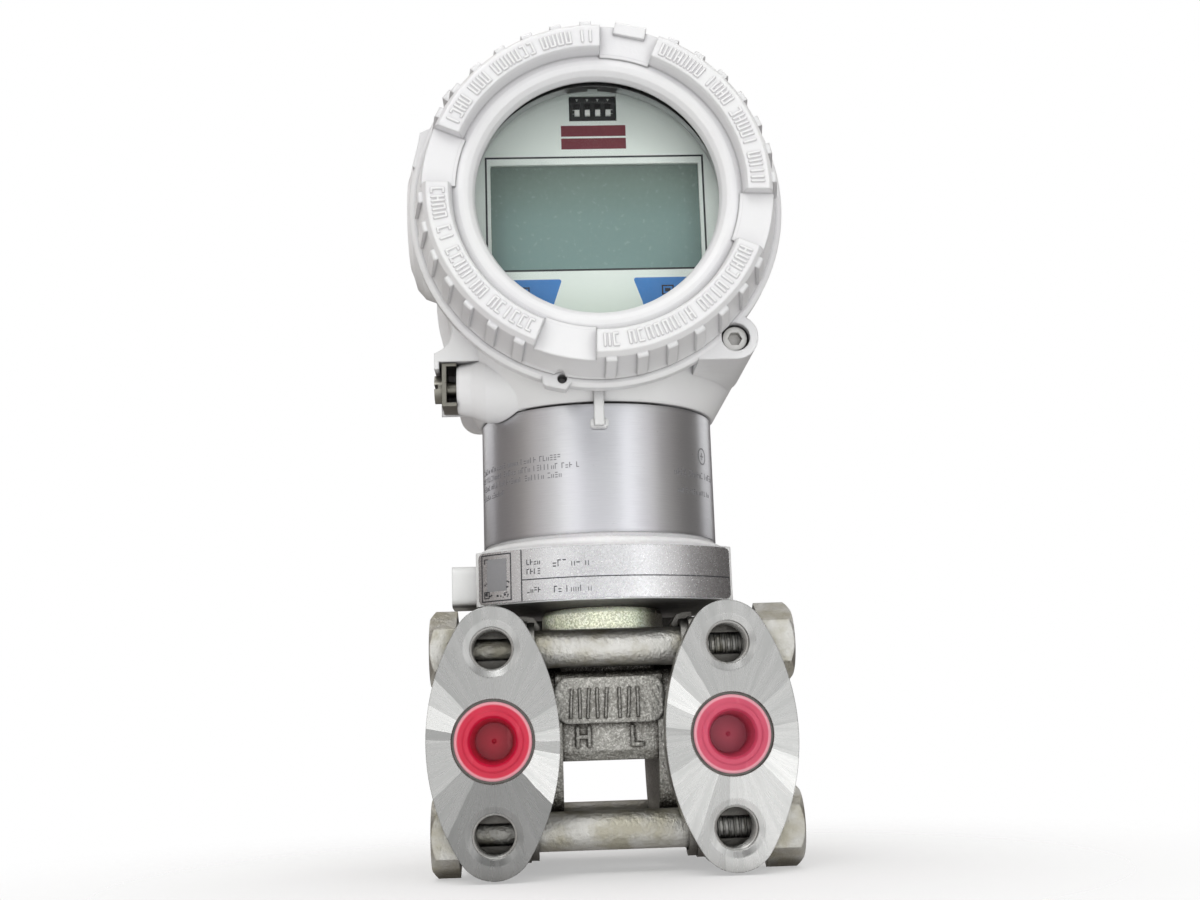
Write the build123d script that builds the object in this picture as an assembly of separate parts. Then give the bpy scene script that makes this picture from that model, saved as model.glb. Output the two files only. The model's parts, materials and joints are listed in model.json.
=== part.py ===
from build123d import *
import os
from math import sin, cos, radians, sqrt

os.makedirs("parts", exist_ok=True)

# Differential pressure transmitter, millimetres.
# Origin: middle of the process-interface plane (the oval faces, y = 0),
# half way between the two pressure ports. +Z up, +X right as seen from the
# front, +Y into the instrument.

# ---------------------------------------------------------------- driving sizes
port_half = 27.0          # half of the 54 mm port spacing
tap_half = 20.65          # half of the 41.3 mm bolt spacing
tap_r = 4.95              # tapping radius of the flange bolt holes
tap_sink_r = 6.5          # countersink radius
sink_depth = 0.48         # shallow countersink, so the thread starts near the face
rear_tap_r = 4.25         # tapping radius of the rear bolt holes
tap_depth = 10.3          # ends just past the near side of the tie bolt bore
oval_half_w = 15.1        # half width of the oval face
oval_half_h = 30.3        # half height of the oval face
oval_tip_r = 9.0          # radius at the ends of the oval
oval_thick = 6.0
flange_in = 17.5          # flange inner (gasket) face, from the centre
flange_out = 35.3         # flange outer face
flange_y0, flange_y1 = 0.0, 76.0
flange_half_z = 27.5
bolt_y = (15.0, 61.0)     # tie bolt rows
bolt_z = 21.0
bolt_r = 4.5
bolt_hole_r = 5.25
hex_af = 16.6
head_h = 6.4
nut_h = 8.4
puck_r = 26.0
puck_in = 11.2
neck_y = 38.0             # vertical neck axis
collar_r = 15.3
base_z0, base_z1 = 31.6, 44.6
base_arc_r = 43.5
base_half_w = 31.0
neck_r = 29.25
neck_top = 79.2
spigot_r = 26.0
spigot_top = 86.4
label_t = 0.4
head_z = 125.0            # barrel axis
flange_r = 44.7           # front rim of the barrel
rim_y = -3.0
barrel_r = 40.8
rear_y = 78.0
wall_y0, wall_y1 = 33.0, 39.0
front_cav_r = 36.0
front_thr_r = 37.5
rear_cav_r = 34.0
rear_thr_r = 35.5
skirt_r0, skirt_z0 = 30.6, 79.6
skirt_r1, skirt_z1 = 37.3, 94.0
conduit_y, conduit_z = 50.0, 140.0
conduit_x = 48.8
conduit_r = 21.3
conduit_bore = 9.25
cover_r = 42.9
cover_front = -16.7
cover_back = -3.3
window_r = 28.7
glass_r = 33.0
glass_y0, glass_y1 = -9.6, -1.6
pad_angle = -102.5        # first flat pad, degrees from +X, seen from the front
ear_x, ear_z = 32.0, 92.0
face_r = 32.0
earth_y, earth_z, earth_face = 21.0, 86.3, -35.0
face_y = 3.0
dip_pitch = 2.54

# ---------------------------------------------------------------- helpers
C = (Align.CENTER, Align.CENTER, Align.MIN)


def cz(r, z0, z1, x=0.0, y=0.0):
    return Pos(x, y, z0) * Cylinder(r, z1 - z0, align=C)


def cy(r, y0, y1, x=0.0, z=0.0):
    return Pos(x, y0, z) * Rot(-90, 0, 0) * Cylinder(r, y1 - y0, align=C)


def cx(r, x0, x1, y=0.0, z=0.0):
    return Pos(x0, y, z) * Rot(0, 90, 0) * Cylinder(r, x1 - x0, align=C)


def coney(r0, r1, y0, y1, x=0.0, z=0.0):
    return Pos(x, y0, z) * Rot(-90, 0, 0) * Cone(r0, r1, y1 - y0, align=C)


def box(x0, x1, y0, y1, z0, z1):
    return Pos((x0 + x1) / 2, (y0 + y1) / 2, (z0 + z1) / 2) * Box(x1 - x0, y1 - y0, z1 - z0)


def rev_y(pts, x=0.0, z=0.0):
    # pts are (radius, y); solid of revolution about a line along Y
    f = make_face(Polyline(*pts, close=True))
    return Pos(x, 0, z) * revolve(f, axis=Axis.Y)


def rev_z(pts, x=0.0, y=0.0):
    # pts are (radius, z)
    f = Plane.XZ * make_face(Polyline(*pts, close=True))
    return Pos(x, y, 0) * revolve(f, axis=Axis.Z)


def rev_x(pts, y=0.0, z=0.0):
    # pts are (x, radius)
    f = make_face(Polyline(*pts, close=True))
    return Pos(0, y, z) * revolve(f, axis=Axis.X)


def hex_x(af, x0, x1, y, z, turn=0.0):
    f = RegularPolygon(af / 2, 6, major_radius=False)
    return Pos(x0, y, z) * Rot(0, 90, 0) * Rot(0, 0, turn) * extrude(f, x1 - x0)


def hex_y(af, y0, y1, x, z, turn=0.0):
    f = RegularPolygon(af / 2, 6, major_radius=False)
    return Pos(x, y0, z) * Rot(-90, 0, 0) * Rot(0, 0, turn) * extrude(f, y1 - y0)


def torus_y(major, minor, y, z):
    return Pos(0, y, z) * Rot(90, 0, 0) * Torus(major, minor)


def turn_y(shape, deg, z=head_z):
    # turn about the barrel axis, counter-clockwise as seen from the front
    return Pos(0, 0, z) * Rot(0, -deg, 0) * Pos(0, 0, -z) * shape


def wedge(a_mid, a_wide, r, y0, y1, z=head_z):
    # prism that spans an angle about the barrel axis
    a0, a1 = radians(-a_wide / 2), radians(a_wide / 2)
    f = Plane.XZ * make_face(Polyline((0, 0), (r * cos(a0), r * sin(a0)),
                                      (r * cos(a1), r * sin(a1)), close=True))
    s = Pos(0, y1, 0) * extrude(f, y1 - y0)
    return Pos(0, 0, z) * Rot(0, -a_mid, 0) * s


def solids(shape):
    out = shape.solids()
    return out[0] if len(out) == 1 else Compound(children=list(out))


def save(name, shape):
    export_step(shape, "parts/%s.step" % name)


def chamfer_try(shape, edges, size):
    try:
        return chamfer(edges, size)
    except Exception:
        return shape


def fillet_try(shape, edges, size):
    try:
        return fillet(edges, size)
    except Exception:
        return shape


# ---------------------------------------------------------------- process flanges
def oval_profile(half_w, half_h, tip):
    # two big arcs that meet two small tip arcs, symmetric about both axes
    d = half_h - tip
    big = (d * d + half_w * half_w - tip * tip) / (2.0 * (half_w - tip))
    cxr = half_w - big                     # centre of the right arc (negative)
    # tangent point of the right arc with the top tip circle
    ux, uz = (0 - cxr) / (big - tip), d / (big - tip)
    tx, tz = cxr + big * ux, big * uz
    right = ThreePointArc((tx, -tz), (half_w, 0), (tx, tz))
    top = ThreePointArc((tx, tz), (0, half_h), (-tx, tz))
    left = ThreePointArc((-tx, tz), (-half_w, 0), (-tx, -tz))
    bot = ThreePointArc((-tx, -tz), (0, -half_h), (tx, -tz))
    return make_face(Wire([right, top, left, bot]))


def oval_prism(xc, y0, y1, grow=0.0):
    f = oval_profile(oval_half_w + grow, oval_half_h + grow, oval_tip_r + grow)
    return Pos(xc, y1, 0) * (Plane.XZ * extrude(f, y1 - y0))


def process_flange(s):
    # s = -1 on the left (high side), +1 on the right (low side)
    xc = s * port_half
    x_in, x_out = s * (flange_in + 1.5), s * flange_out
    lo, hi = min(x_in, x_out), max(x_in, x_out)
    # body section: a plate with sloping corners, extruded along X
    pts = [(3.0, -17.5), (10.0, -flange_half_z), (66.0, -flange_half_z), (73.0, -17.5),
           (73.0, 17.5), (66.0, flange_half_z), (10.0, flange_half_z), (3.0, 17.5)]
    f = Plane.YZ * make_face(Polyline(*pts, close=True))
    body = Pos(lo, 0, 0) * extrude(f, hi - lo)
    body = fillet_try(body, body.edges().filter_by(Axis.X), 3.0)
    # neck of metal from the oval to the plate
    web_f = Pos(xc, 0, 0) * (Pos(-s * 0.1, 14.0, 0) * (Plane.XZ * extrude(Rectangle(16.2, 46.0), 11.0)))
    web_r = Pos(xc, 0, 0) * (Pos(-s * 0.1, 73.0, 0) * (Plane.XZ * extrude(Rectangle(16.2, 46.0), 11.0)))
    oval_f = oval_prism(xc, flange_y0, oval_thick)
    oval_r = oval_prism(xc, flange_y1 - oval_thick, flange_y1)
    # pressure cover disc against the sensor body
    disc = cx(puck_r + 1.0, min(s * flange_in, s * 24), max(s * flange_in, s * 24), neck_y, 0)
    part = body + web_f + web_r + oval_f + oval_r + disc
    for y in bolt_y:
        for z in (-bolt_z, bolt_z):
            a, b = s * (flange_in - 0.3), s * 24
            part += cx(6.4, min(a, b), max(a, b), y, z)
    part -= cx(puck_r + 0.35, min(s * 14, s * flange_in), max(s * 14, s * flange_in), neck_y, 0)
    # port bosses inside the body
    part += cy(9.4, 3.0, 73.0, xc, 0)
    # small cast lugs at the top inner edge
    for y0, pts in ((20.0, ((21.0, 23.5), (21.0, 29.4), (19.4, 29.4), (17.3, 28.9), (15.9, 26.7), (16.2, 25.3), (17.6, 23.5))),
                    (50.0, ((21.0, 23.5), (21.0, 30.4), (14.2, 30.4), (11.8, 28.4), (11.8, 25.4), (14.0, 23.5)))):
        lg = Plane.XZ * make_face(Polyline(*[(s * a, b) for a, b in pts], close=True))
        part += Pos(0, y0 + 6.0, 0) * extrude(lg, 6.0)
    # tie bolt bores
    for y in bolt_y:
        for z in (-bolt_z, bolt_z):
            part -= cx(bolt_hole_r, min(s * 14, s * 40), max(s * 14, s * 40), y, z)
    # four tapped holes a face, open to the tie bolt bores
    for z in (-tap_half, tap_half):
        part -= cy(tap_r, -1, tap_depth, xc, z)
        part -= coney(tap_sink_r, tap_r, 0.0, sink_depth, xc, z)
        part -= cy(rear_tap_r, flange_y1 - tap_depth, flange_y1 + 1, xc, z)
        part -= coney(rear_tap_r, rear_tap_r + 1.1, flange_y1 - sink_depth, flange_y1, xc, z)
    # ports: seal counterbore, taper thread, channel to the chamber
    part -= cy(9.45, -1, 0.9, xc, 0)
    part -= coney(6.9, 6.35, 0.5, 14.5, xc, 0)
    part -= cy(3.2, 10, 62, xc, 0)
    part -= cy(9.45, flange_y1 - 0.9, flange_y1 + 1, xc, 0)
    part -= coney(6.35, 6.9, flange_y1 - 14.5, flange_y1 - 0.5, xc, 0)
    part -= cx(3.2, min(s * 16, xc), max(s * 16, xc), neck_y, 0)
    # chamber and gasket groove
    part -= cx(19.5, min(s * 16, s * 19.3), max(s * 16, s * 19.3), neck_y, 0)
    groove = cx(24.2, min(s * 16, s * 18.9), max(s * 16, s * 18.9), neck_y, 0)
    groove -= cx(21.0, min(s * 15, s * 20), max(s * 15, s * 20), neck_y, 0)
    part -= groove
    return part


flange_high = process_flange(-1)
flange_low = process_flange(1)
save("process_flange_high", solids(flange_high))
save("process_flange_low", solids(flange_low))

for s, side in ((-1, "high"), (1, "low")):
    a, b = s * flange_in, s * 18.9
    g = cx(24.15, min(a, b), max(a, b), neck_y, 0) - cx(21.05, min(a, b) - 1, max(a, b) + 1, neck_y, 0)
    save("flange_gasket_" + side, g)
    # isolating diaphragm: thin metal disc with one rolled corrugation
    xd = s * (flange_in - 0.7)
    d = cx(19.4, min(xd, xd + s * 0.3), max(xd, xd + s * 0.3), neck_y, 0)
    ring = cx(14.0, min(xd, xd + s * 0.55), max(xd, xd + s * 0.55), neck_y, 0)
    ring -= cx(12.5, min(xd, xd + s * 0.55) - 1, max(xd, xd + s * 0.55) + 1, neck_y, 0)
    save("diaphragm_" + side, solids(d + ring))

# ---------------------------------------------------------------- tie bolts and nuts
bolts, nuts = [], []
for y in bolt_y:
    for z in (-bolt_z, bolt_z):
        head = hex_x(hex_af, -flange_out - head_h, -flange_out, y, z, 0)
        head &= rev_x([(-flange_out - head_h, 0), (-flange_out - head_h, hex_af / 2 - 0.3),
                       (-flange_out - head_h + 1.6, hex_af / 2 + 1.7), (-flange_out, hex_af / 2 + 1.7),
                       (-flange_out, 0)], y, z)
        shank = cx(bolt_r, -flange_out - 0.5, 43.2, y, z)
        bolts.append(head + shank)
        nut = hex_x(hex_af, flange_out, flange_out + nut_h, y, z, 0)
        nut &= rev_x([(flange_out, 0), (flange_out, hex_af / 2 + 1.7), (flange_out + nut_h - 1.6, hex_af / 2 + 1.7),
                      (flange_out + nut_h, hex_af / 2 - 0.3), (flange_out + nut_h, 0)], y, z)
        nut -= cx(bolt_r + 0.02, flange_out - 1, flange_out + nut_h + 1, y, z)
        nuts.append(nut)
save("tie_bolts", Compound(children=[solids(b) for b in bolts]))
save("tie_nuts", Compound(children=[solids(n) for n in nuts]))

# ---------------------------------------------------------------- sensor body
sb = cx(puck_r, -flange_in, -puck_in, neck_y, 0) + cx(puck_r, puck_in, flange_in, neck_y, 0)
# bridge above the gap, drawn in the YZ plane
bp = [(13.2, -2.8), (15.0, -5.2), (61.0, -5.2), (62.8, -2.8), (62.8, 14.2), (60.6, 15.6), (55.6, 15.6), (55.6, 22.0),
      (20.4, 22.0), (20.4, 15.6), (15.4, 15.6), (13.2, 14.2)]
f = Plane.YZ * make_face(Polyline(*bp, close=True))
sb += Pos(-12.6, 0, 0) * extrude(f, 25.2)
# pad on the front of the bridge, rounded ends
pad = Plane.XZ * (Pos(0, 8.7, 0) * RectangleRounded(25.6, 10.6, 3.4))
sb += Pos(0, 14.0, 0) * extrude(pad, 2.3)
# raised port letters on the bridge, high on the left and low on the right
for dx, ch in ((-6.3, "H"), (6.3, "L")):
    if ch == "H":
        bars = [(-1.75, -0.95, -2.4, 2.4), (0.95, 1.75, -2.4, 2.4), (-1.0, 1.0, -0.4, 0.4)]
    else:
        bars = [(-1.5, -0.7, -2.4, 2.4), (-1.5, 1.5, -2.4, -1.6)]
    for x0, x1, z0, z1 in bars:
        sb += box(dx + x0, dx + x1, 12.5, 14.0, 0.3 + z0, 0.3 + z1)
# collar that carries the neck
sb += rev_z([(0, 18), (13.6, 18), (15.0, 24.6), (collar_r, 25.4), (collar_r, 30.2), (14.6, 31.3),
             (13.0, 31.3), (13.0, 41.4), (0, 41.4)], 0, neck_y)
# cell pocket and its way up to the neck
sb -= cz(8.3, 2.0, 60, 0, neck_y)
# fluid channels from the cell pocket to the diaphragm recesses
for s in (-1, 1):
    a, b = s * (flange_in - 1.2), s * 20
    sb -= cx(19.6, min(a, b), max(a, b), neck_y, 0)
    sb += cx(19.6, min(s * (flange_in - 1.2), s * (flange_in - 1.0)), max(s * (flange_in - 1.2), s * (flange_in - 1.0)), neck_y, 0)
    sb -= cx(0.8, min(s * 7, s * 19), max(s * 7, s * 19), neck_y, 4.5)
save("sensor_body", solids(sb))
save("dp_sensor_cell", solids(cz(8.2, 2.0, 12.0, 0, neck_y) + cz(5.0, 12.0, 14.5, 0, neck_y)))

# ---------------------------------------------------------------- port plugs (push-in, plastic)
for s, side in ((-1, "high"), (1, "low")):
    p = rev_y([(0, 8.0), (4.3, 8.0), (5.2, 0.3), (5.7, -0.45), (6.6, -0.45), (7.0, -0.15), (8.5, -0.15),
               (8.8, 0.1), (8.8, 0.5), (6.3, 0.5), (6.05, 9.2), (0, 9.2)], s * port_half, 0)
    p -= coney(0.9, 0.2, 7.7, 8.3, s * port_half, 0)
    save("port_plug_" + side, p)

# ---------------------------------------------------------------- rear vent valves
for s, side in ((-1, "high"), (1, "low")):
    xc = s * port_half
    vb = coney(6.1, 6.55, 63.5, 75.1, xc, 0) + hex_y(14.0, 75.1, 84.0, xc, 0)
    vb -= cy(3.02, 70.0, 85.0, xc, 0)
    vb -= cy(1.5, 60.0, 71.0, xc, 0)
    vb -= cz(1.0, -12, 0, xc, 79.5)
    save("vent_body_" + side, solids(vb))
    vn = cy(2.95, 76.0, 87.0, xc, 0) + coney(0.6, 2.95, 73.0, 76.0, xc, 0) + hex_y(8.0, 87.0, 92.0, xc, 0)
    save("vent_needle_" + side, solids(vn))

# ---------------------------------------------------------------- neck casting
b1 = cz(base_arc_r, base_z0, base_z1, 0, 4.5 + base_arc_r)
b2 = cz(base_arc_r, base_z0, base_z1, 0, 71.5 - base_arc_r)
base = (b1 & b2) & box(-base_half_w, base_half_w, 0, 76, base_z0 - 1, base_z1 + 1)
base = fillet_try(base, base.edges().filter_by(Axis.Z), 1.6)
nk = base
nk += rev_z([(0, base_z1 - 0.5), (31.4, base_z1 - 0.5), (31.4, 45.7), (30.9, 46.5), (30.2, 46.9), (29.9, 46.5),
             (neck_r, 46.5), (neck_r, neck_top), (spigot_r, neck_top), (spigot_r, spigot_top - 0.6),
             (spigot_r - 0.6, spigot_top), (0, spigot_top)], 0, neck_y)
# clamping boss on the left of the base
bs = box(-37.2, -27.0, 24.0, 37.0, 32.3, 42.4)
bs = fillet_try(bs, bs.edges().filter_by(Axis.X), 2.0)
nk += bs
# hollow inside, seat for the collar below
nk -= cz(24.6, 52.0, 76.0, 0, neck_y)
nk -= cz(21.4, 75.0, spigot_top + 1, 0, neck_y)
nk -= cz(13.02, base_z0 - 1, 42.6, 0, neck_y)
nk -= cz(9.0, 42.0, 53.0, 0, neck_y)
# seal groove round the spigot
gr = cz(spigot_r + 1, 81.6, 84.2, 0, neck_y) - cz(23.7, 81.0, 85.0, 0, neck_y)
nk -= gr
# radial tapped hole for the collar screw
nk -= cx(2.55, -40, -12.5, 30.5 + 7.5 - 0.0, 37.35)
save("neck_casting", solids(nk))
ns = cx(2.5, -35.6, -13.3, 38.0, 37.35)
ns -= hex_x(2.5, -36.0, -33.0, 38.0, 37.35)
save("neck_lock_screw", solids(ns))
save("neck_oring", Pos(0, neck_y, 82.9) * Torus(24.8, 1.1))

# wrap-round label and the curved range label
nl = cz(neck_r + 0.02 + label_t, 47.9, 79.0, 0, neck_y) - cz(neck_r + 0.02, 40, 80, 0, neck_y)
nl -= box(-1.5, 1.5, 60, 70, 40, 80)
save("neck_label", solids(nl))
bl = cz(base_arc_r + label_t + 0.02, 31.95, 44.2, 0, 4.5 + base_arc_r)
bl -= cz(base_arc_r + 0.02, 30, 50, 0, 4.5 + base_arc_r)
plate = Plane.XZ * (Pos(0, (31.95 + 44.2) / 2, 0) * RectangleRounded(60.6, 12.25, 1.2))
bl &= Pos(0, 30, 0) * extrude(plate, 30)
save("base_label", solids(bl))

# sensor electronics in the neck
board = cz(22.0, 58.0, 59.6, 0, neck_y)
posts = []
for a in (30, 150, 270):
    px, py = 19.5 * cos(radians(a)), neck_y + 19.5 * sin(radians(a))
    board -= cz(1.6, 57, 61, px, py)
    posts.append(cz(2.6, 52.0, 58.0, px, py) + cz(1.5, 58.0, 59.6, px, py) + cz(2.6, 59.6, 61.2, px, py))
board += box(-7, 7, 30.0, 35.0, 59.6, 66.0)            # connector block
board += box(-6, 6, 42.0, 52.0, 59.6, 61.4)            # converter chip
save("sensor_board", solids(board))
save("sensor_board_posts", Compound(children=[solids(p) for p in posts]))
save("sensor_ribbon", box(-4.0, 4.0, 37.75, 38.25, 14.5, 58.0))

# ---------------------------------------------------------------- housing
outer = rev_y([(0, rim_y), (43.7, rim_y), (flange_r, rim_y + 0.7), (flange_r, 0.6), (42.6, 2.4), (barrel_r, 4.0),
               (barrel_r, 72.0), (42.6, 74.0), (flange_r - 1.0, 75.0), (flange_r - 1.0, rear_y), (0, rear_y)], 0, head_z)
h = outer
h += rev_z([(0, skirt_z0), (skirt_r0 - 0.5, skirt_z0), (skirt_r0, skirt_z0 + 0.5), (36.5, 89.9), (skirt_r1 - 0.2, 91.6),
            (skirt_r1, skirt_z1), (skirt_r1, 103.5), (38.2, 109.0), (39.4, 112.0), (0, 112.0)], 0, neck_y)
# conduit bosses, one each side, leading into the rear compartment
for s in (-1, 1):
    pr = [(s * 20, 0), (s * 20, conduit_r), (s * 42.4, conduit_r), (s * 45.1, conduit_r - 1.0),
          (s * 47.2, conduit_r - 3.5), (s * 48.1, 14.5), (s * conduit_x, 12.6), (s * conduit_x, 0)]
    h += rev_x(pr, conduit_y, conduit_z)
# ear of the front cover lock screw and its rear twin
ear = cy(5.4, rim_y + 0.4, 31.0, ear_x, ear_z)
wf = Rot(0, 46.1, 0) * box(38.6, 46.4, rim_y + 0.4, 11.0, -5.2, 5.2)
ear += Pos(0, 0, head_z) * wf
ear += box(23.0, ear_x, rim_y + 0.4, 31.0, ear_z - 5.4, 100.0)
h += ear
h += Pos(0, 2 * neck_y - 1.0, 0) * Rot(0, 0, 180) * ear
# small cast lug, upper left of the rim
lug = box(42.0, 46.3, rim_y + 0.4, 3.0, -1.4, 1.3)
h += Pos(0, 0, head_z) * Rot(0, -140.4, 0) * lug
# long low lug beside the upper left pad of the cover
lug = Plane.XZ * make_face(Polyline(*[(r * cos(radians(a)), head_z + r * sin(radians(a))) for r, a in
                                      ((41.5, 151.6), (44.0, 151.6), (46.3, 155.2), (45.6, 158.8), (45.2, 166.0), (41.5, 168.0))], close=True))
h += Pos(0, 4.0, 0) * extrude(lug, 6.6)
# tab under the rim, with the hole of the seal wire
tab = Plane.XZ * make_face(Polyline((-14.0, 86.0), (-14.0, 82.0), (-13.3, 81.0), (-8.5, 79.9), (-6.7, 82.2), (-6.7, 86.0),
                                    close=True))
tab = Pos(0, 0.6, 0) * extrude(tab, 0.6 - rim_y)
h += tab
# rotation tab that hangs over the neck label, with its foot
h += box(-1.7, 0.7, 5.4, 8.0, 73.2, 82.5)
ft = box(-2.7, 1.7, 6.2, 8.0, 72.7, 75.0)
ft = fillet_try(ft, ft.edges().filter_by(Axis.Y), 0.9)
h += ft
h += box(-1.7, 0.7, 5.4, 10.0, 79.9, 86.0)
# external earth boss and the ledge above it
h += rev_x([(-18.0, 0), (-18.0, 8.8), (-27.8, 8.6), (-29.4, 8.0), (-31.4, 7.1), (-34.3, 6.4),
            (earth_face, 6.0), (earth_face, 0)], earth_y, earth_z)
led = Plane.XZ * make_face(Polyline((-40.4, 92.1), (-40.4, 94.2), (-38.4, 95.2), (-36.9, 96.8), (-36.1, 99.0), (-35.9, 102.5),
                                    (-26.0, 102.5), (-26.0, 92.1), close=True))
led = Pos(0, earth_y + 6.5, 0) * extrude(led, 12.3)
led += box(-40.4, -39.2, earth_y - 5.8, earth_y + 6.5, 90.2, 93.0)
led += box(-39.4, -29.0, earth_y + 5.5, earth_y + 6.5, 80.8, 93.0)
h += led
# swivel screw boss at the back of the skirt
h += cy(5.4, 62.0, 72.5, 0, 85.4)

# cavities
h -= rev_y([(0, rim_y - 1), (front_thr_r + 0.6, rim_y - 1), (front_thr_r + 0.6, rim_y + 0.4), (front_thr_r, rim_y + 1.0),
            (front_thr_r, 11.0), (front_cav_r, 12.5), (front_cav_r, wall_y0), (0, wall_y0)], 0, head_z)
h -= rev_y([(0, rear_y + 1), (rear_thr_r + 0.6, rear_y + 1), (rear_thr_r + 0.6, rear_y - 0.4), (rear_thr_r, rear_y - 1.0),
            (rear_thr_r, 66.0), (rear_cav_r, 65.0), (rear_cav_r, wall_y1), (0, wall_y1)], 0, head_z)
h -= cz(spigot_r + 0.05, skirt_z0 - 1, 86.9, 0, neck_y)
h -= cz(29.98, 60.0, 79.4, 0, neck_y)      # nothing of the housing touches the neck label
h -= cz(8.5, 86.0, 95.0, 0, 23.0)
for s in (-1, 1):
    h -= cx(conduit_bore, min(s * 25, s * 52), max(s * 25, s * 52), conduit_y, conduit_z)
    h -= rev_x([(s * (conduit_x + 0.2), 0), (s * (conduit_x + 0.2), conduit_bore + 1.4),
                (s * (conduit_x - 1.2), conduit_bore), (s * (conduit_x - 1.2), 0)], conduit_y, conduit_z)
# lock screw seats
for f2 in (lambda q: q, lambda q: Pos(0, 2 * neck_y - 1.0, 0) * Rot(0, 0, 180) * q):
    h -= f2(cy(3.4, rim_y - 1, 2.3, ear_x, ear_z))
    h -= f2(cy(2.05, 0, 12.6, ear_x, ear_z))
# hole of the seal wire
h -= cy(1.15, rim_y - 1, 1.0, -9.3, 82.6)
# earth screw and swivel screw holes
h -= cx(2.05, -37.0, -27.6, earth_y, earth_z)
h -= cy(3.02, 60.0, 74.0, 0, 84.2)
# blind holes in the wall for the board pillars and the terminal block
for a in (90, 210, 330):
    h -= cy(1.55, 29.0, 36.0, 27.5 * cos(radians(a)), head_z + 27.5 * sin(radians(a)))
for sx in (-1, 1):
    h -= cy(1.55, 36.0, 43.0, sx * 22.0, head_z - 8.0)
h -= cy(2.05, 35.8, 42.0, 0, head_z - 29.0)
save("housing", solids(h))

hs = cy(2.95, 64.5, 71.5, 0, 84.2) - hex_y(3.0, 69.0, 72.0, 0, 84.2)
save("housing_lock_screw", solids(hs))


def lock_screw():
    q = cy(2.9, -0.9, 2.2, ear_x, ear_z) + cy(2.0, 2.1, 12.0, ear_x, ear_z)
    q -= hex_y(3.0, -2.0, 0.9, ear_x, ear_z)
    return q


save("front_lock_screw", solids(lock_screw()))
save("rear_lock_screw", solids(Pos(0, 2 * neck_y - 1.0, 0) * Rot(0, 0, 180) * lock_screw()))

# external earth clamp: bent saddle, and its screw
ec = box(-38.6, earth_face, earth_y - 5, earth_y + 5, earth_z - 5.3, earth_z + 5.6)
ec -= box(-37.5, -34.0, earth_y - 6, earth_y + 6, earth_z - 4.4, earth_z + 4.8)
ec -= cx(2.3, -42, -37, earth_y, earth_z)
save("earth_clamp", solids(ec))
es = cx(3.5, -40.6, -38.6, earth_y, earth_z) + cx(2.0, -38.7, -28.2, earth_y, earth_z)
es -= box(-41.0, -39.7, earth_y - 4, earth_y + 4, earth_z - 0.5, earth_z + 0.5)
save("earth_screw", solids(es))

# blanking plug in the right conduit entry, seal on its seat
cp = cx(9.2, 38.0, conduit_x, conduit_y, conduit_z) + cx(11.6, conduit_x, conduit_x + 1.6, conduit_y, conduit_z)
cp -= hex_x(8.0, 46.0, 53.0, conduit_y, conduit_z)
cp -= cx(7.0, 37.0, 43.0, conduit_y, conduit_z)
save("conduit_plug", solids(cp))

# ---------------------------------------------------------------- covers
def rib(profile, half, deg):
    # one grip rib: a profile in (radius, y), as thick as twice half, at an angle seen from the front
    f = extrude(make_face(Polyline(*profile, close=True)), 2 * half)
    return Pos(0, 0, head_z) * Rot(0, -deg, 0) * Pos(0, 0, -half) * f


def grip(profile, lug):
    out = [rib(profile, 1.3, pad_angle + 90 * q + 15 + 10 * k) for q in range(4) for k in range(7)]
    return out + [rib(lug, 3.75, pad_angle + 180)]


fc = rev_y([(window_r, -10.2), (29.2, -11.7), (30.2, -12.8), (31.4, -13.35), (32.4, -13.3), (33.2, -13.0), (33.8, -12.8),
            (34.2, -15.8), (34.6, cover_front), (39.3, cover_front), (39.7, -16.6), (40.7, -15.1), (42.6, -4.4),
            (cover_r, -4.0), (cover_r, cover_back),
            (36.4, cover_back), (36.4, -0.5), (37.4, 0.3), (37.4, 9.6), (36.8, 10.2), (34.4, 10.2), (34.4, 1.6),
            (33.4, 1.6), (33.4, glass_y0 + 0.0), (window_r, glass_y0 + 0.0)], 0, head_z)
ring_cut = rev_y([(33.5, -20), (46, -20), (46, -13.6), (33.5, -13.6)], 0, head_z)
for q in range(4):
    fc -= ring_cut & wedge(pad_angle + 90 * q, 20.4, 60, -21, -13)
fc += grip([(38.8, -15.3), (41.3, -15.3), (41.7, -14.9), (43.2, -4.9), (42.9, -4.6), (38.8, -4.6)],
           [(38.8, -14.6), (41.5, -14.6), (42.1, -14.0), (43.5, -4.9), (43.1, -4.6), (38.8, -4.6)])
for q in range(4):
    pad_ = rev_y([(33.1, -13.55), (40.5, -13.55), (41.2, -12.9), (41.2, -12.0), (33.1, -12.0)], 0, head_z)
    fc += pad_ & wedge(pad_angle + 90 * q, 20.2, 60, -16, -11)
# round notch in the skirt of the cover, in line with the hole of the seal wire
fc -= cy(1.6, -6.4, -2.0, -9.97, 82.4)
save("front_cover", solids(fc))
save("window_glass", rev_y([(0, -9.0), (32.6, -9.0), (32.9, -8.7), (32.9, glass_y1), (0, glass_y1)], 0, head_z))
save("glass_gasket", rev_y([(29.6, -9.6), (33.3, -9.6), (33.3, -9.0), (29.6, -9.0)], 0, head_z))
gr = rev_y([(30.2, glass_y1), (33.35, glass_y1), (33.35, 1.4), (30.2, 1.4)], 0, head_z)
for a in (0, 90, 180, 270):
    gr -= Pos(0, 0, head_z) * Rot(0, -a, 0) * box(29, 32, 0.2, 2, -1.2, 1.2)
save("glass_retaining_ring", solids(gr))
save("front_cover_oring", rev_y([(36.45, -2.9), (36.9, -3.1), (37.3, -2.8), (37.4, -2.0), (37.3, -1.1), (36.9, -0.8),
                                 (36.45, -1.0)], 0, head_z))

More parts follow.
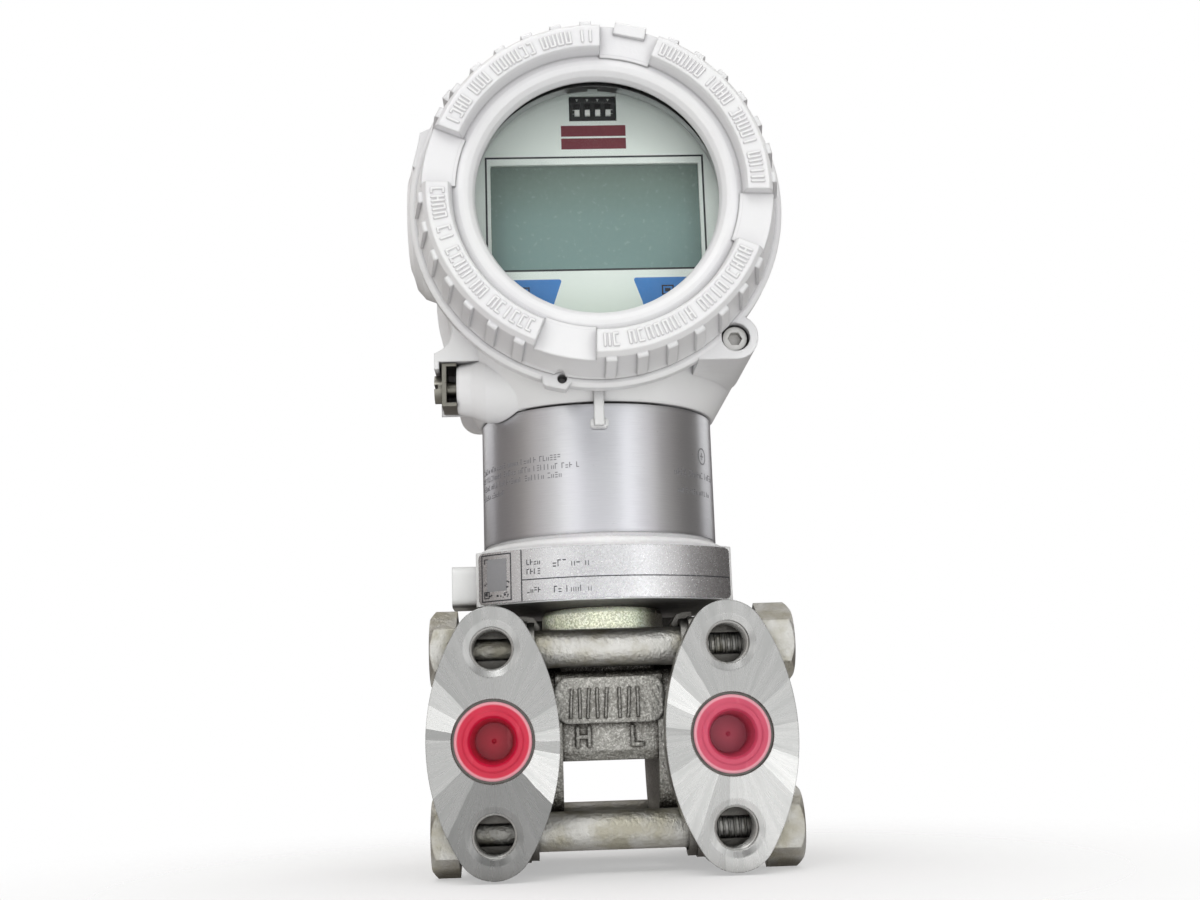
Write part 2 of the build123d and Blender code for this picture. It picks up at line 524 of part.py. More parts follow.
rc = rev_y([(0, 92.6), (30.0, 92.6), (35.5, 91.7), (39.7, 90.5), (40.7, 89.1), (42.6, 79.2), (cover_r, 78.8), (cover_r, 78.3),
            (34.5, 78.3), (34.5, 76.0),
            (35.4, 75.2), (35.4, 67.0), (34.8, 66.4), (31.6, 66.4), (31.6, 86.4), (29.0, 88.4), (0, 88.4)], 0, head_z)
rc += grip([(38.8, 79.4), (42.8, 79.4), (43.1, 79.7), (41.7, 89.0), (41.3, 89.4), (38.8, 89.4)],
           [(38.8, 79.4), (42.8, 79.4), (43.3, 79.8), (42.0, 88.4), (41.5, 89.0), (38.8, 89.0)])
save("rear_cover", solids(rc))
save("rear_cover_oring", rev_y([(34.55, 76.4), (34.9, 76.2), (35.3, 76.4), (35.4, 77.2), (35.3, 77.9), (34.9, 78.1), (34.55, 77.9)], 0, head_z))

# ---------------------------------------------------------------- display
dz = head_z - 1.3
face = rev_y([(0, face_y), (face_r, face_y), (face_r, face_y + 1.4), (0, face_y + 1.4)], 0, head_z)
face -= box(-25.3, 25.3, 2, 6, dz - 13.3, dz + 13.3)
face -= box(-5.8, 5.8, 2, 6, 148.2, 154.9)
save("display_face", solids(face))
dh = rev_y([(0, 13.0), (30.6, 13.0), (30.6, 17.4), (face_r, 17.4), (face_r, face_y + 1.4), (30.4, face_y + 1.4),
            (30.4, 11.4), (0, 11.4)], 0, head_z)
dh -= box(-12, 12, 10, 20, 100.0, 106.0)
save("display_housing", solids(dh))
save("lcd_panel", box(-25.2, 25.2, face_y + 0.6, face_y + 3.2, dz - 13.2, dz + 13.2))
db = rev_y([(0, 8.2), (30.0, 8.2), (30.0, 9.8), (0, 9.8)], 0, head_z)
db += box(-10, 10, 9.8, 14.0, 101.0, 105.0)
save("display_board", solids(db))
sw = box(-5.6, 5.6, face_y + 0.5, 8.2, 148.4, 154.7)
for k in range(4):
    xk = (k - 1.5) * dip_pitch
    sw -= box(xk - 0.72, xk + 0.72, face_y - 1, face_y + 2.2, 149.6, 152.9)
save("dip_switch_block", solids(sw))
for k in range(4):
    xk = (k - 1.5) * dip_pitch
    save("dip_slider_%d" % (k + 1), box(xk - 0.6, xk + 0.6, face_y + 0.2, face_y + 2.1, 149.75, 151.25))

# ---------------------------------------------------------------- main electronics
mb = rev_y([(0, 17.6), (33.0, 17.6), (33.0, 19.2), (0, 19.2)], 0, head_z)
for a in (90, 210, 330):
    mb -= cy(1.75, 17, 20, 27.5 * cos(radians(a)), head_z + 27.5 * sin(radians(a)))
mb += box(-10, 10, 14.6, 17.6, 101.0, 105.0)
mb += box(-12, 6, 19.2, 21.4, 118.0, 136.0)
mb += box(10, 19, 19.2, 29.0, 118.0, 134.0)
save("main_board", solids(mb))
pil, bsc = [], []
for a in (90, 210, 330):
    px, pz = 27.5 * cos(radians(a)), head_z + 27.5 * sin(radians(a))
    p = cy(2.8, 19.2, 33.0, px, pz) + cy(1.5, 33.0, 35.8, px, pz) - cy(1.55, 18, 26.0, px, pz)
    pil.append(p)
    bsc.append(cy(2.7, 15.8, 17.6, px, pz) + cy(1.5, 17.6, 25.0, px, pz) - hex_y(2.0, 15.0, 16.8, px, pz))
save("board_pillars", Compound(children=[solids(p) for p in pil]))
save("board_screws", Compound(children=[solids(p) for p in bsc]))

# ---------------------------------------------------------------- terminal block
tb = rev_y([(0, 39.0), (29.5, 39.0), (29.5, 47.0), (0, 47.0)], 0, head_z) & box(-40, 40, 30, 60, 108.0, 146.0)
tb += box(-22.0, 22.0, 47.0, 55.0, 113.0, 129.0)
for s in (-1, 1):
    tb -= cx(10.4, min(s * 21.0, s * 42.0), max(s * 21.0, s * 42.0), conduit_y, conduit_z)
tx = (-14.0, 0.0, 14.0)
for x in tx:
    tb -= box(x - 4.6, x + 4.6, 49.0, 56.0, 112.0, 126.5)
    tb -= cy(2.05, 42.0, 50.0, x, 121.0)
for sx in (-1, 1):
    tb -= cy(1.7, 38, 56, sx * 22.0, head_z - 8.0)
    tb -= cy(3.6, 45.0, 56, sx * 22.0, head_z - 8.0)
save("terminal_block", solids(tb))
cl = []
for x in tx:
    c1 = box(x - 4.0, x + 4.0, 49.0, 50.0, 115.0, 126.0) - cy(2.3, 48, 51, x, 121.0)
    cl.append(c1)
save("terminal_plates", Compound(children=[solids(c) for c in cl]))
for x, nm in zip(tx, ("plus", "minus", "test")):
    t = cy(2.0, 43.0, 52.2, x, 121.0) + cy(3.6, 52.2, 54.8, x, 121.0)
    t -= box(x - 4, x + 4, 53.8, 55, 120.6, 121.4)
    save("terminal_screw_" + nm, solids(t))
bsn = []
for sx in (-1, 1):
    t = cy(1.5, 36.4, 45.0, sx * 22.0, head_z - 8.0) + cy(3.2, 45.0, 47.4, sx * 22.0, head_z - 8.0)
    t -= box(sx * 22 - 4, sx * 22 + 4, 46.6, 48, head_z - 8.35, head_z - 7.65)
    bsn.append(t)
save("terminal_block_screws", Compound(children=[solids(t) for t in bsn]))
ig = cy(2.0, 36.2, 41.4, 0, head_z - 29.0) + cy(3.7, 41.4, 44.2, 0, head_z - 29.0)
ig -= box(-4, 4, 43.2, 45, head_z - 29.4, head_z - 28.6)
save("inner_earth_screw", solids(ig))
wsh = cy(4.4, 39.0, 40.2, 0, head_z - 29.0) - cy(2.3, 38, 42, 0, head_z - 29.0)
wsh2 = cy(4.2, 40.2, 41.4, 0, head_z - 29.0) - cy(2.3, 38, 42, 0, head_z - 29.0)
save("inner_earth_washers", Compound(children=[solids(wsh), solids(wsh2)]))
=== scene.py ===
import bpy, bmesh, json, math, random
from mathutils import Vector, Matrix


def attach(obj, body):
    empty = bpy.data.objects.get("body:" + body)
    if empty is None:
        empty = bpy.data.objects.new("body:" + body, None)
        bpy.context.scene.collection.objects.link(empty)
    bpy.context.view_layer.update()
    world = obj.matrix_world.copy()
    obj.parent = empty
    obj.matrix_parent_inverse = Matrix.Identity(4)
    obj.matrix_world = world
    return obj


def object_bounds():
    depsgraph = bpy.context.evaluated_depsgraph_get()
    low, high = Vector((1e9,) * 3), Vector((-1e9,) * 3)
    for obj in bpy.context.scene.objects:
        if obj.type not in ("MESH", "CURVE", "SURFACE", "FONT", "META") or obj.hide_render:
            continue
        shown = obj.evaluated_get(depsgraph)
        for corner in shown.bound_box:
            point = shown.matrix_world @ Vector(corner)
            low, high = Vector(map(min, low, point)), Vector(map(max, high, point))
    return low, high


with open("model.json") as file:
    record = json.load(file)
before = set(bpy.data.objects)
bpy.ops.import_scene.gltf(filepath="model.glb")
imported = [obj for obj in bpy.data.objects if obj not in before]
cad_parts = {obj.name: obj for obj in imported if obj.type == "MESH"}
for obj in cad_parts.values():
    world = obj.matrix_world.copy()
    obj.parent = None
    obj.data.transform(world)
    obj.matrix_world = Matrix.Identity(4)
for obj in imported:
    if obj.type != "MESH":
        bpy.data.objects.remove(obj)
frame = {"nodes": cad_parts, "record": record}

cad_lo, cad_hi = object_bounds()
nodes = frame["nodes"]
scene = bpy.context.scene
scene.view_settings.view_transform = "Standard"
scene.view_settings.look = "None"
MM = 0.001


# ------------------------------------------------------------------ node helper
class Mat:
    """A small helper around one procedural material."""

    def __init__(s, name):
        s.m = bpy.data.materials.new(name)
        s.m.use_nodes = True
        s.t = s.m.node_tree
        s.t.nodes.clear()
        s.out = s.t.nodes.new("ShaderNodeOutputMaterial")
        s.p = s.t.nodes.new("ShaderNodeBsdfPrincipled")
        s.t.links.new(s.p.outputs[0], s.out.inputs[0])
        s.tc = s.t.nodes.new("ShaderNodeTexCoord")
        s.co = s.tc.outputs["Object"]
        s._xyz = None

    def new(s, kind):
        return s.t.nodes.new(kind)

    def put(s, socket, v):
        if v is None:
            return
        if isinstance(v, bpy.types.NodeSocket):
            s.t.links.new(v, socket)
        elif isinstance(v, (tuple, list)) and len(v) == 3 and socket.type == "RGBA":
            socket.default_value = (v[0], v[1], v[2], 1)
        else:
            socket.default_value = v

    def set(s, **kw):
        for k, v in kw.items():
            s.put(s.p.inputs[k.replace("_", " ")], v)
        return s

    def math(s, op, a, b=None, c=None, clamp=False):
        n = s.new("ShaderNodeMath")
        n.operation = op
        n.use_clamp = clamp
        for i, v in enumerate((a, b, c)):
            s.put(n.inputs[i], v)
        return n.outputs[0]

    def vmath(s, op, a, b=None):
        n = s.new("ShaderNodeVectorMath")
        n.operation = op
        s.put(n.inputs[0], a)
        s.put(n.inputs[1], b)
        return n.outputs[1] if op in ("LENGTH", "DOT_PRODUCT", "DISTANCE") else n.outputs[0]

    def xyz(s, v=None):
        n = s.new("ShaderNodeSeparateXYZ")
        s.put(n.inputs[0], v or s.co)
        return n.outputs

    def vec(s, x, y, z):
        n = s.new("ShaderNodeCombineXYZ")
        for i, v in enumerate((x, y, z)):
            s.put(n.inputs[i], v)
        return n.outputs[0]

    def scaled(s, sx, sy, sz, loc=(0, 0, 0), rot=(0, 0, 0)):
        n = s.new("ShaderNodeMapping")
        s.put(n.inputs["Vector"], s.co)
        n.inputs["Scale"].default_value = (sx, sy, sz)
        n.inputs["Location"].default_value = loc
        n.inputs["Rotation"].default_value = rot
        return n.outputs[0]

    def noise(s, scale, detail=3, rough=.5, vec=None, dist=0):
        n = s.new("ShaderNodeTexNoise")
        s.put(n.inputs["Vector"], vec or s.co)
        n.inputs["Scale"].default_value = scale
        n.inputs["Detail"].default_value = detail
        n.inputs["Roughness"].default_value = rough
        n.inputs["Distortion"].default_value = dist
        return n.outputs[0]

    def voronoi(s, scale, feature="F1", vec=None, rand=1, out=0):
        n = s.new("ShaderNodeTexVoronoi")
        n.feature = feature
        s.put(n.inputs["Vector"], vec or s.co)
        n.inputs["Scale"].default_value = scale
        n.inputs["Randomness"].default_value = rand
        return n.outputs[out]

    def remap(s, v, a, b, c=0., d=1., smooth=False):
        n = s.new("ShaderNodeMapRange")
        if smooth:
            n.interpolation_type = "SMOOTHSTEP"
        for i, x in enumerate((v, a, b, c, d)):
            s.put(n.inputs[i], x)
        return n.outputs[0]

    def mix(s, fac, a, b, blend="MIX"):
        n = s.new("ShaderNodeMix")
        n.data_type = "RGBA"
        n.blend_type = blend
        s.put(n.inputs[0], fac)
        s.put(n.inputs[6], a)
        s.put(n.inputs[7], b)
        return n.outputs[2]

    def lerp(s, fac, a, b):
        n = s.new("ShaderNodeMix")
        n.data_type = "FLOAT"
        s.put(n.inputs[0], fac)
        s.put(n.inputs[2], a)
        s.put(n.inputs[3], b)
        return n.outputs[0]

    def ramp(s, fac, stops, mode="LINEAR"):
        n = s.new("ShaderNodeValToRGB")
        n.color_ramp.interpolation = mode
        e = n.color_ramp.elements
        while len(e) > 1:
            e.remove(e[-1])
        for i, (p, c) in enumerate(stops):
            el = e[0] if i == 0 else e.new(p)
            el.position = p
            el.color = (c, c, c, 1) if isinstance(c, (int, float)) else (c[0], c[1], c[2], 1)
        s.put(n.inputs[0], fac)
        return n.outputs[0]

    def bump(s, height, strength, dist, normal=None):
        n = s.new("ShaderNodeBump")
        s.put(n.inputs["Height"], height)
        n.inputs["Strength"].default_value = strength
        n.inputs["Distance"].default_value = dist
        s.put(n.inputs["Normal"], normal)
        return n.outputs[0]

    def bevel(s, radius, samples=4):
        n = s.new("ShaderNodeBevel")
        n.samples = samples
        n.inputs["Radius"].default_value = radius
        return n.outputs[0]

    def ao(s, dist, samples=4, inside=False):
        n = s.new("ShaderNodeAmbientOcclusion")
        n.samples = samples
        n.inside = inside
        n.inputs["Distance"].default_value = dist
        return n.outputs["AO"]

    def done(s):
        return s.m


# ------------------------------------------------------------------ materials
def white_paint(name="white_paint", threads=None):
    """Satin off-white powder paint on a die casting, with painted shade in corners, creases, recesses and under the
    base; threads=(lo, hi) leaves the screwed skirt bare.
    """
    n = Mat(name)
    big = n.noise(22, 3, .55)
    skin = n.noise(620, 4, .6)
    peel = n.noise(2300, 2, .5)
    dust = n.noise(95, 5, .65)
    ao = n.ao(.0045, 5)
    crease = n.ao(.0009, 4)
    deep = n.ao(.022, 5)
    col = n.mix(n.remap(big, .35, .68), (.83, .84, .832), (.79, .79, .805))
    col = n.mix(n.remap(dust, .56, .78, 0, .30), col, (.71, .71, .70))
    # painted shade: darker in corners and creases, from ambient occlusion
    col = n.mix(n.remap(ao, .30, .93, .48, 0), col, (.46, .45, .475))
    col = n.mix(n.remap(crease, .30, .90, .45, 0), col, (.36, .355, .37))
    x, y, z = n.xyz()
    # painted shade: near black deep in recesses, weakened by the lock ear where x is over 16 mm and z under 90.2 mm
    pocket = n.math("MULTIPLY", n.remap(x, .013, .016), n.remap(z, .0912, .0902))
    deep_shade_fac = n.math("MULTIPLY", n.remap(deep, .05, .36, .80, 0, smooth=True), n.math("SUBTRACT", 1.0, n.math("MULTIPLY", pocket, .85)))
    col = n.mix(deep_shade_fac, col, (.06, .055, .05))
    # painted shadow: near black on down-facing faces under the base, below z 34.5 mm
    geo = n.new("ShaderNodeNewGeometry")
    base_underside_shadow = n.math("MULTIPLY", n.remap(n.xyz(geo.outputs["True Normal"])[2], -.5, -.8), n.remap(z, .0345, .0335))
    col = n.mix(n.math("MULTIPLY", base_underside_shadow, .88), col, (.035, .032, .028))
    rough = n.lerp(n.remap(skin, .3, .7), .30, .46)
    nb = n.bevel(.0007, 5)
    nb = n.bump(skin, .28, .00022, nb)
    nb = n.bump(peel, .20, .00008, nb)
    n.set(Base_Color=col, Roughness=rough, Normal=nb)
    n.p.inputs["Coat Weight"].default_value = .18
    n.p.inputs["Coat Roughness"].default_value = .22
    if threads:
        ylo, yhi, rmax = threads
        inside = n.math("MULTIPLY", n.math("GREATER_THAN", y, ylo), n.math("LESS_THAN", y, yhi))
        r = n.math("SQRT", n.math("ADD", n.math("POWER", x, 2.0), n.math("POWER", n.math("SUBTRACT", z, .125), 2.0)))
        inside = n.math("MULTIPLY", inside, n.math("LESS_THAN", r, rmax))
        ang = n.math("ARCTAN2", n.math("SUBTRACT", z, .125), x)
        ph = n.math("ADD", n.math("MULTIPLY", y, 2 * math.pi / .002), ang)
        wave = n.math("SINE", ph)
        metal = n.mix(n.remap(skin, .3, .7), (.58, .58, .59), (.50, .50, .50))
        n.set(Base_Color=n.mix(inside, col, metal), Metallic=inside)
        h = n.math("MULTIPLY", wave, inside)
        n.set(Normal=n.bump(h, 1.0, .0005, nb))
    return n.done()


def mark_paint(name="mark_paint"):
    """The same paint on raised strokes, with painted shade greying their slopes."""
    n = Mat(name)
    geo = n.new("ShaderNodeNewGeometry")
    ny = n.xyz(geo.outputs["True Normal"])[1]
    skin = n.noise(620, 4, .6)
    top = n.mix(n.remap(skin, .3, .7), (.84, .85, .84), (.81, .81, .82))
    # painted shade: grey where the face turns away from the front
    col = n.mix(n.remap(ny, -.97, -.90), top, (.66, .655, .665))
    n.set(Base_Color=col, Roughness=n.remap(skin, .3, .7, .34, .46), Normal=n.bump(skin, .2, .0001))
    n.p.inputs["Coat Weight"].default_value = .18
    return n.done()


def turned(n, ax, cx, cz, ring, amount, normal):
    """Concentric tool marks about a Y axis at (cx, cz)."""
    x, y, z = n.xyz()
    dx = n.math("SUBTRACT", x, cx) if not isinstance(cx, bpy.types.NodeSocket) else n.math("SUBTRACT", x, cx)
    dz = n.math("SUBTRACT", z, cz)
    r = n.math("SQRT", n.math("ADD", n.math("POWER", dx, 2.0), n.math("POWER", dz, 2.0)))
    rr = n.noise(1.0, 2, .6, n.vec(n.math("MULTIPLY", r, ring), 0.0, 0.0))
    return n.bump(rr, amount, .00005, normal), dx, dz, r


def machined_flange(name, cx, stops):
    """Fly-cut stainless flange: bright face with painted highlight sectors fanned round the port, painted shade in its
    hollows, satin cast sides.
    """
    n = Mat(name)
    x, y, z = n.xyz()
    front = n.remap(y, .0004, .0009, 1, 0)
    rear = n.remap(y, .0751, .0756)
    face = n.math("MAXIMUM", front, rear, clamp=True)
    skin = n.noise(1100, 4, .62)
    cast = n.noise(420, 5, .6)
    nb = n.bevel(.00035, 4)
    ringed, dx, dz, r = turned(n, "y", cx, 0.0, 5200.0, .16, nb)
    ang = n.math("DIVIDE", n.math("ADD", n.math("ARCTAN2", dz, dx), math.pi), 2 * math.pi)
    wob = n.math("ADD", ang, n.remap(n.noise(160, 2, .5), 0, 1, -.004, .004))
    # painted highlight: face brightness by angle round the port, in fan sectors
    highlight_sectors = n.ramp(wob, [((a + 180) / 360, v) for a, v in stops], "CONSTANT")
    fan = n.noise(1.0, 3, .6, n.vec(n.math("MULTIPLY", ang, 70.0), n.math("MULTIPLY", r, 60.0), 0.0))
    bright = n.mix(n.remap(fan, .3, .7), (.60, .60, .59), (.52, .525, .515))
    bright = n.mix(1.0, bright, highlight_sectors, "MULTIPLY")
    fade = n.remap(z, -.031, -.008, .72, 1.0)
    castc = n.mix(n.remap(cast, .35, .7), (.40, .395, .37), (.53, .52, .49))
    ao = n.ao(.004, 4)
    deep = n.ao(.022, 5)
    col = n.mix(face, castc, bright)
    # painted shade: darker in corners and near black deep in recesses
    col = n.mix(n.remap(ao, .25, .9, .75, 0), col, (.10, .095, .085))
    col = n.mix(n.remap(deep, .08, .50, .80, 0, smooth=True), col, (.04, .036, .03))
    nicks = n.remap(n.voronoi(330, "F1"), 0, .10, 1, 0)
    nickm = n.math("MULTIPLY", nicks, n.remap(n.noise(60, 2), .60, .66))
    rough_face = n.lerp(n.remap(fan, .3, .7), .20, .34)
    rough = n.lerp(face, n.remap(cast, .3, .7, .36, .52), rough_face)
    castn = n.bump(n.noise(900, 4, .6), .55, .0003, nb)
    castn = n.bump(cast, .35, .0003, castn)
    mixn = n.new("ShaderNodeMix")
    mixn.data_type = "VECTOR"
    n.put(mixn.inputs[0], face)
    n.put(mixn.inputs[4], castn)
    n.put(mixn.inputs[5], n.bump(nickm, .5, .00025, n.bump(n.noise(2400, 2), .05, .00005, ringed)))
    n.set(Base_Color=col, Roughness=rough, Normal=mixn.outputs[1])
    n.p.inputs["Metallic"].default_value = 1.0
    n.p.inputs["Anisotropic"].default_value = .55
    tan = n.new("ShaderNodeTangent")
    tan.direction_type = "RADIAL"
    tan.axis = "Y"
    n.put(n.p.inputs["Tangent"], tan.outputs[0])
    return n.done()


def steel(name, a, b, r0, r1, scale=900, depth=.0002, strength=.25, bevel=.0003, corner_shade=(.06, .055, .05), warm=None, aniso=0., axis="X"):
    """Plain satin, turned or blasted steel with painted shade darkening its corners."""
    n = Mat(name)
    g = n.noise(scale, 5, .6)
    wide = n.noise(70, 3, .5)
    col = n.mix(n.remap(wide, .3, .7), a, b)
    if warm:
        col = n.mix(n.remap(n.noise(120, 4, .6), .42, .62), col, warm)
    # painted shade: darker in corners, from ambient occlusion
    ao = n.ao(.003, 4)
    col = n.mix(n.remap(ao, .25, .9, .7, 0), col, corner_shade)
    nb = n.bevel(bevel, 4)
    nb = n.bump(g, strength, depth, nb)
    n.set(Base_Color=col, Roughness=n.remap(g, .3, .7, r0, r1), Normal=nb)
    n.p.inputs["Metallic"].default_value = 1.0
    if aniso:
        n.p.inputs["Anisotropic"].default_value = aniso
        tan = n.new("ShaderNodeTangent")
        tan.direction_type = "RADIAL"
        tan.axis = axis
        n.put(n.p.inputs["Tangent"], tan.outputs[0])
    return n.done()


def cast_steel(name="cast_steel"):
    """Bead-blasted investment casting with a pitted skin, warmer towards its collar, with painted shade in its hollows
    and on one side of the collar, and painted glints.
    """
    n = Mat(name)
    x, y, z = n.xyz()
    pits = n.noise(950, 5, .62)
    lumps = n.noise(330, 4, .55)
    cell = n.voronoi(1500, "F1")
    wide = n.noise(45, 3, .5)
    col = n.mix(n.remap(wide, .32, .68), (.42, .415, .385), (.30, .295, .27))
    col = n.mix(n.remap(pits, .45, .66, 0, .55), col, (.50, .49, .465))
    tint = n.math("MULTIPLY", n.remap(z, .023, .027), n.remap(n.noise(210, 4, .6), .30, .60, .72, 1.0))
    col = n.mix(tint, col, (.97, .975, .80))
    tint2 = n.math("MULTIPLY", n.remap(z, .023, .027, 0, .6), n.remap(n.noise(260, 3, .6, n.scaled(1, 1, 1, (.3, .1, .2))), .58, .70))
    col = n.mix(tint2, col, (.80, .76, .76))
    # painted shade: darker in hollows, less of it up on the collar
    ao = n.ao(.006, 5)
    low = n.remap(z, .023, .027, 1.0, .10)
    col = n.mix(n.math("MULTIPLY", n.remap(ao, .22, .92, .88, 0), low), col, (.055, .045, .035))
    nb = n.bevel(.0009, 5)
    nb = n.bump(lumps, .60, .0007, nb)
    nb = n.bump(pits, .95, .00042, nb)
    nb = n.bump(n.noise(2100, 3, .6), .75, .0002, nb)
    nb = n.bump(cell, .25, .0001, nb)
    # painted glints: bright and dark speckle in the colour
    glint = n.noise(2100, 3, .6, n.scaled(1, 1, 1, (.02, .01, .03)))
    col = n.mix(n.remap(glint, .50, .62, 0, .52), col, (.84, .83, .79))
    col = n.mix(n.remap(glint, .36, .47, .24, 0), col, (.16, .155, .14))
    # painted shade: darker in fine crevices
    col = n.mix(n.remap(n.ao(.0018, 6), .40, .92, .85, 0), col, (.05, .046, .038))
    upper = n.remap(z, .023, .027)
    grit = n.remap(n.noise(2100, 3, .7, n.scaled(1, 1, 1, (.07, .03, .05))), .42, .56, .85, 0)
    col = n.mix(n.math("MULTIPLY", upper, grit), col, (.42, .42, .29))
    # painted shade: the collar darkens to near black towards its right side
    collar_side_shade = n.math("MULTIPLY", upper, n.remap(x, .0055, .0125, 0, .96, smooth=True))
    col = n.mix(collar_side_shade, col, (.035, .03, .022))
    n.set(Base_Color=col, Roughness=n.remap(pits, .3, .7, .42, .24), Normal=nb, Metallic=n.remap(z, .023, .027, 1.0, .04))
    return n.done()


def plastic(name, a, b, r0=.35, r1=.5, scale=700, strength=.15, depth=.0001, coat=0., ao_col=None, ao_dist=.003, bevel=.0003):
    n = Mat(name)
    g = n.noise(scale, 4, .6)
    w = n.noise(60, 3, .5)
    col = n.mix(n.remap(w, .3, .7), a, b)
    if ao_col:
        col = n.mix(n.remap(n.ao(ao_dist, 4), .2, .9, .8, 0), col, ao_col)
    nb = n.bump(g, strength, depth, n.bevel(bevel, 4) if bevel else None)
    n.set(Base_Color=col, Roughness=n.remap(g, .3, .7, r0, r1), Normal=nb)
    n.p.inputs["Coat Weight"].default_value = coat
    return n.done()


def plug_red(name, cx, a, b):
    """Moulded red stopper with turned mould rings and a rubbed dimple, painted shade in its hollows and a painted
    highlight round its rim.
    """
    n = Mat(name)
    nb = n.bevel(.0004, 4)
    nb, dx, dz, r = turned(n, "y", cx, 0.0, 2600.0, .45, nb)
    g = n.noise(1400, 3, .6)
    col = n.mix(n.remap(n.noise(110, 3), .3, .7), a, b)
    # painted shade: darker in the well and hollows
    col = n.mix(n.remap(n.ao(.005, 5), .2, .95, .90, 0), col, (a[0] * .26, a[1] * .1, a[2] * .22))
    scuff = n.remap(n.noise(300, 4, .7, n.scaled(1, 1, .2, (0, 0, 0), (0, .6, 0))), .60, .72, 0, .35)
    col = n.mix(scuff, col, (min(1, a[0] * 1.1), a[1] + .12, a[2] + .12))
    # painted highlight: pale ring round the rim, 7.9 to 8.4 mm from the port axis
    col = n.mix(n.remap(r, .0079, .0084, 0, .62, smooth=True), col, (.88, .52, .58))
    n.set(Base_Color=col, Roughness=n.remap(g, .3, .7, .30, .44), Normal=n.bump(g, .12, .0001, nb))
    n.p.inputs["Subsurface Weight"].default_value = .12
    n.p.inputs["Subsurface Radius"].default_value = (.003, .0006, .0006)
    return n.done()


def brushed_label(name="neck_label"):
    """Anodised label wrapped round the neck, brushed along its length, in soft tone bands."""
    n = Mat(name)
    x, y, z = n.xyz()
    ang = n.math("ARCTAN2", x, n.math("SUBTRACT", .038, y))
    lines = n.noise(1.0, 4, .7, n.vec(n.math("MULTIPLY", ang, 5.0), n.math("MULTIPLY", z, 5200.0), 0.0))
    band = n.noise(1.0, 2, .5, n.vec(n.math("MULTIPLY", ang, 2.2), 3.1, n.math("MULTIPLY", z, 6.0)))
    cloud = n.noise(70, 3, .5)
    col = n.mix(n.remap(band, .35, .65), (.60, .605, .64), (.70, .71, .725))
    col = n.mix(n.remap(cloud, .4, .7, 0, .30), col, (.62, .60, .66))
    col = n.mix(n.remap(lines, .35, .7, 0, .22), col, (.42, .42, .45))
    edge = n.math("MAXIMUM", n.remap(z, .0782, .0789), n.remap(z, .0487, .0480))
    col = n.mix(n.math("MULTIPLY", edge, .5), col, (.36, .36, .38))
    nb = n.bump(lines, .10, .00004, None)
    nb = n.bump(cloud, .05, .0008, nb)
    n.set(Base_Color=col, Roughness=n.remap(lines, .3, .7, .27, .38), Normal=nb)
    n.p.inputs["Metallic"].default_value = .95
    n.p.inputs["Anisotropic"].default_value = .6
    n.p.inputs["Anisotropic Rotation"].default_value = .25
    tan = n.new("ShaderNodeTangent")
    tan.direction_type = "RADIAL"
    tan.axis = "Z"
    n.put(n.p.inputs["Tangent"], tan.outputs[0])
    return n.done()


def speckled_label(name="base_label"):
    """Silver foil label with a fine metallic speckle, and painted shade darkening its right end."""
    n = Mat(name)
    sp = n.voronoi(2600, "F1", out=1)
    spx = n.xyz(sp)[0]
    fine = n.noise(2600, 3, .7)
    wide = n.noise(40, 2, .5)
    col = n.mix(n.remap(wide, .35, .65), (.575, .575, .59), (.67, .67, .68))
    col = n.mix(n.remap(spx, .70, .95, 0, .5), col, (.78, .78, .79))
    col = n.mix(n.remap(fine, .60, .75, 0, .5), col, (.36, .36, .37))
    # painted shade: darker towards the right end
    col = n.mix(n.remap(n.xyz()[0], .010, .029, 0, .46, smooth=True), col, (.30, .30, .305))
    n.set(Base_Color=col, Roughness=n.remap(spx, 0, 1, .18, .32), Normal=n.bump(fine, .12, .00005, n.bevel(.00015, 3)))
    n.p.inputs["Metallic"].default_value = .92
    return n.done()


def ink(name, c, r=.45):
    n = Mat(name)
    g = n.noise(2500, 3, .7)
    n.set(Base_Color=n.mix(n.remap(g, .45, .75, 0, .6), c, tuple(min(1, v + .05) for v in c)), Roughness=n.remap(g, .3, .7, r - .06, r + .1), Normal=n.bump(g, .08, .00003))
    return n.done()


def glass(name="window_glass"):
    n = Mat(name)
    smear = n.noise(45, 4, .6, n.scaled(1, 1, 2.2))
    n.set(Roughness=n.remap(smear, .45, .8, 0.0, .018))
    n.p.inputs["Base Color"].default_value = (.965, .985, .975, 1)
    n.p.inputs["Transmission Weight"].default_value = 1.0
    n.p.inputs["IOR"].default_value = 1.50
    n.set(Normal=n.bump(n.noise(14, 2), .02, .0005))
    lp = n.new("ShaderNodeLightPath")
    tr = n.new("ShaderNodeBsdfTransparent")
    tr.inputs[0].default_value = (.985, .995, .99, 1)
    mx = n.new("ShaderNodeMixShader")
    n.t.links.new(lp.outputs["Is Shadow Ray"], mx.inputs[0])
    n.t.links.new(n.p.outputs[0], mx.inputs[1])
    n.t.links.new(tr.outputs[0], mx.inputs[2])
    n.t.links.new(mx.outputs[0], n.out.inputs[0])
    return n.done()


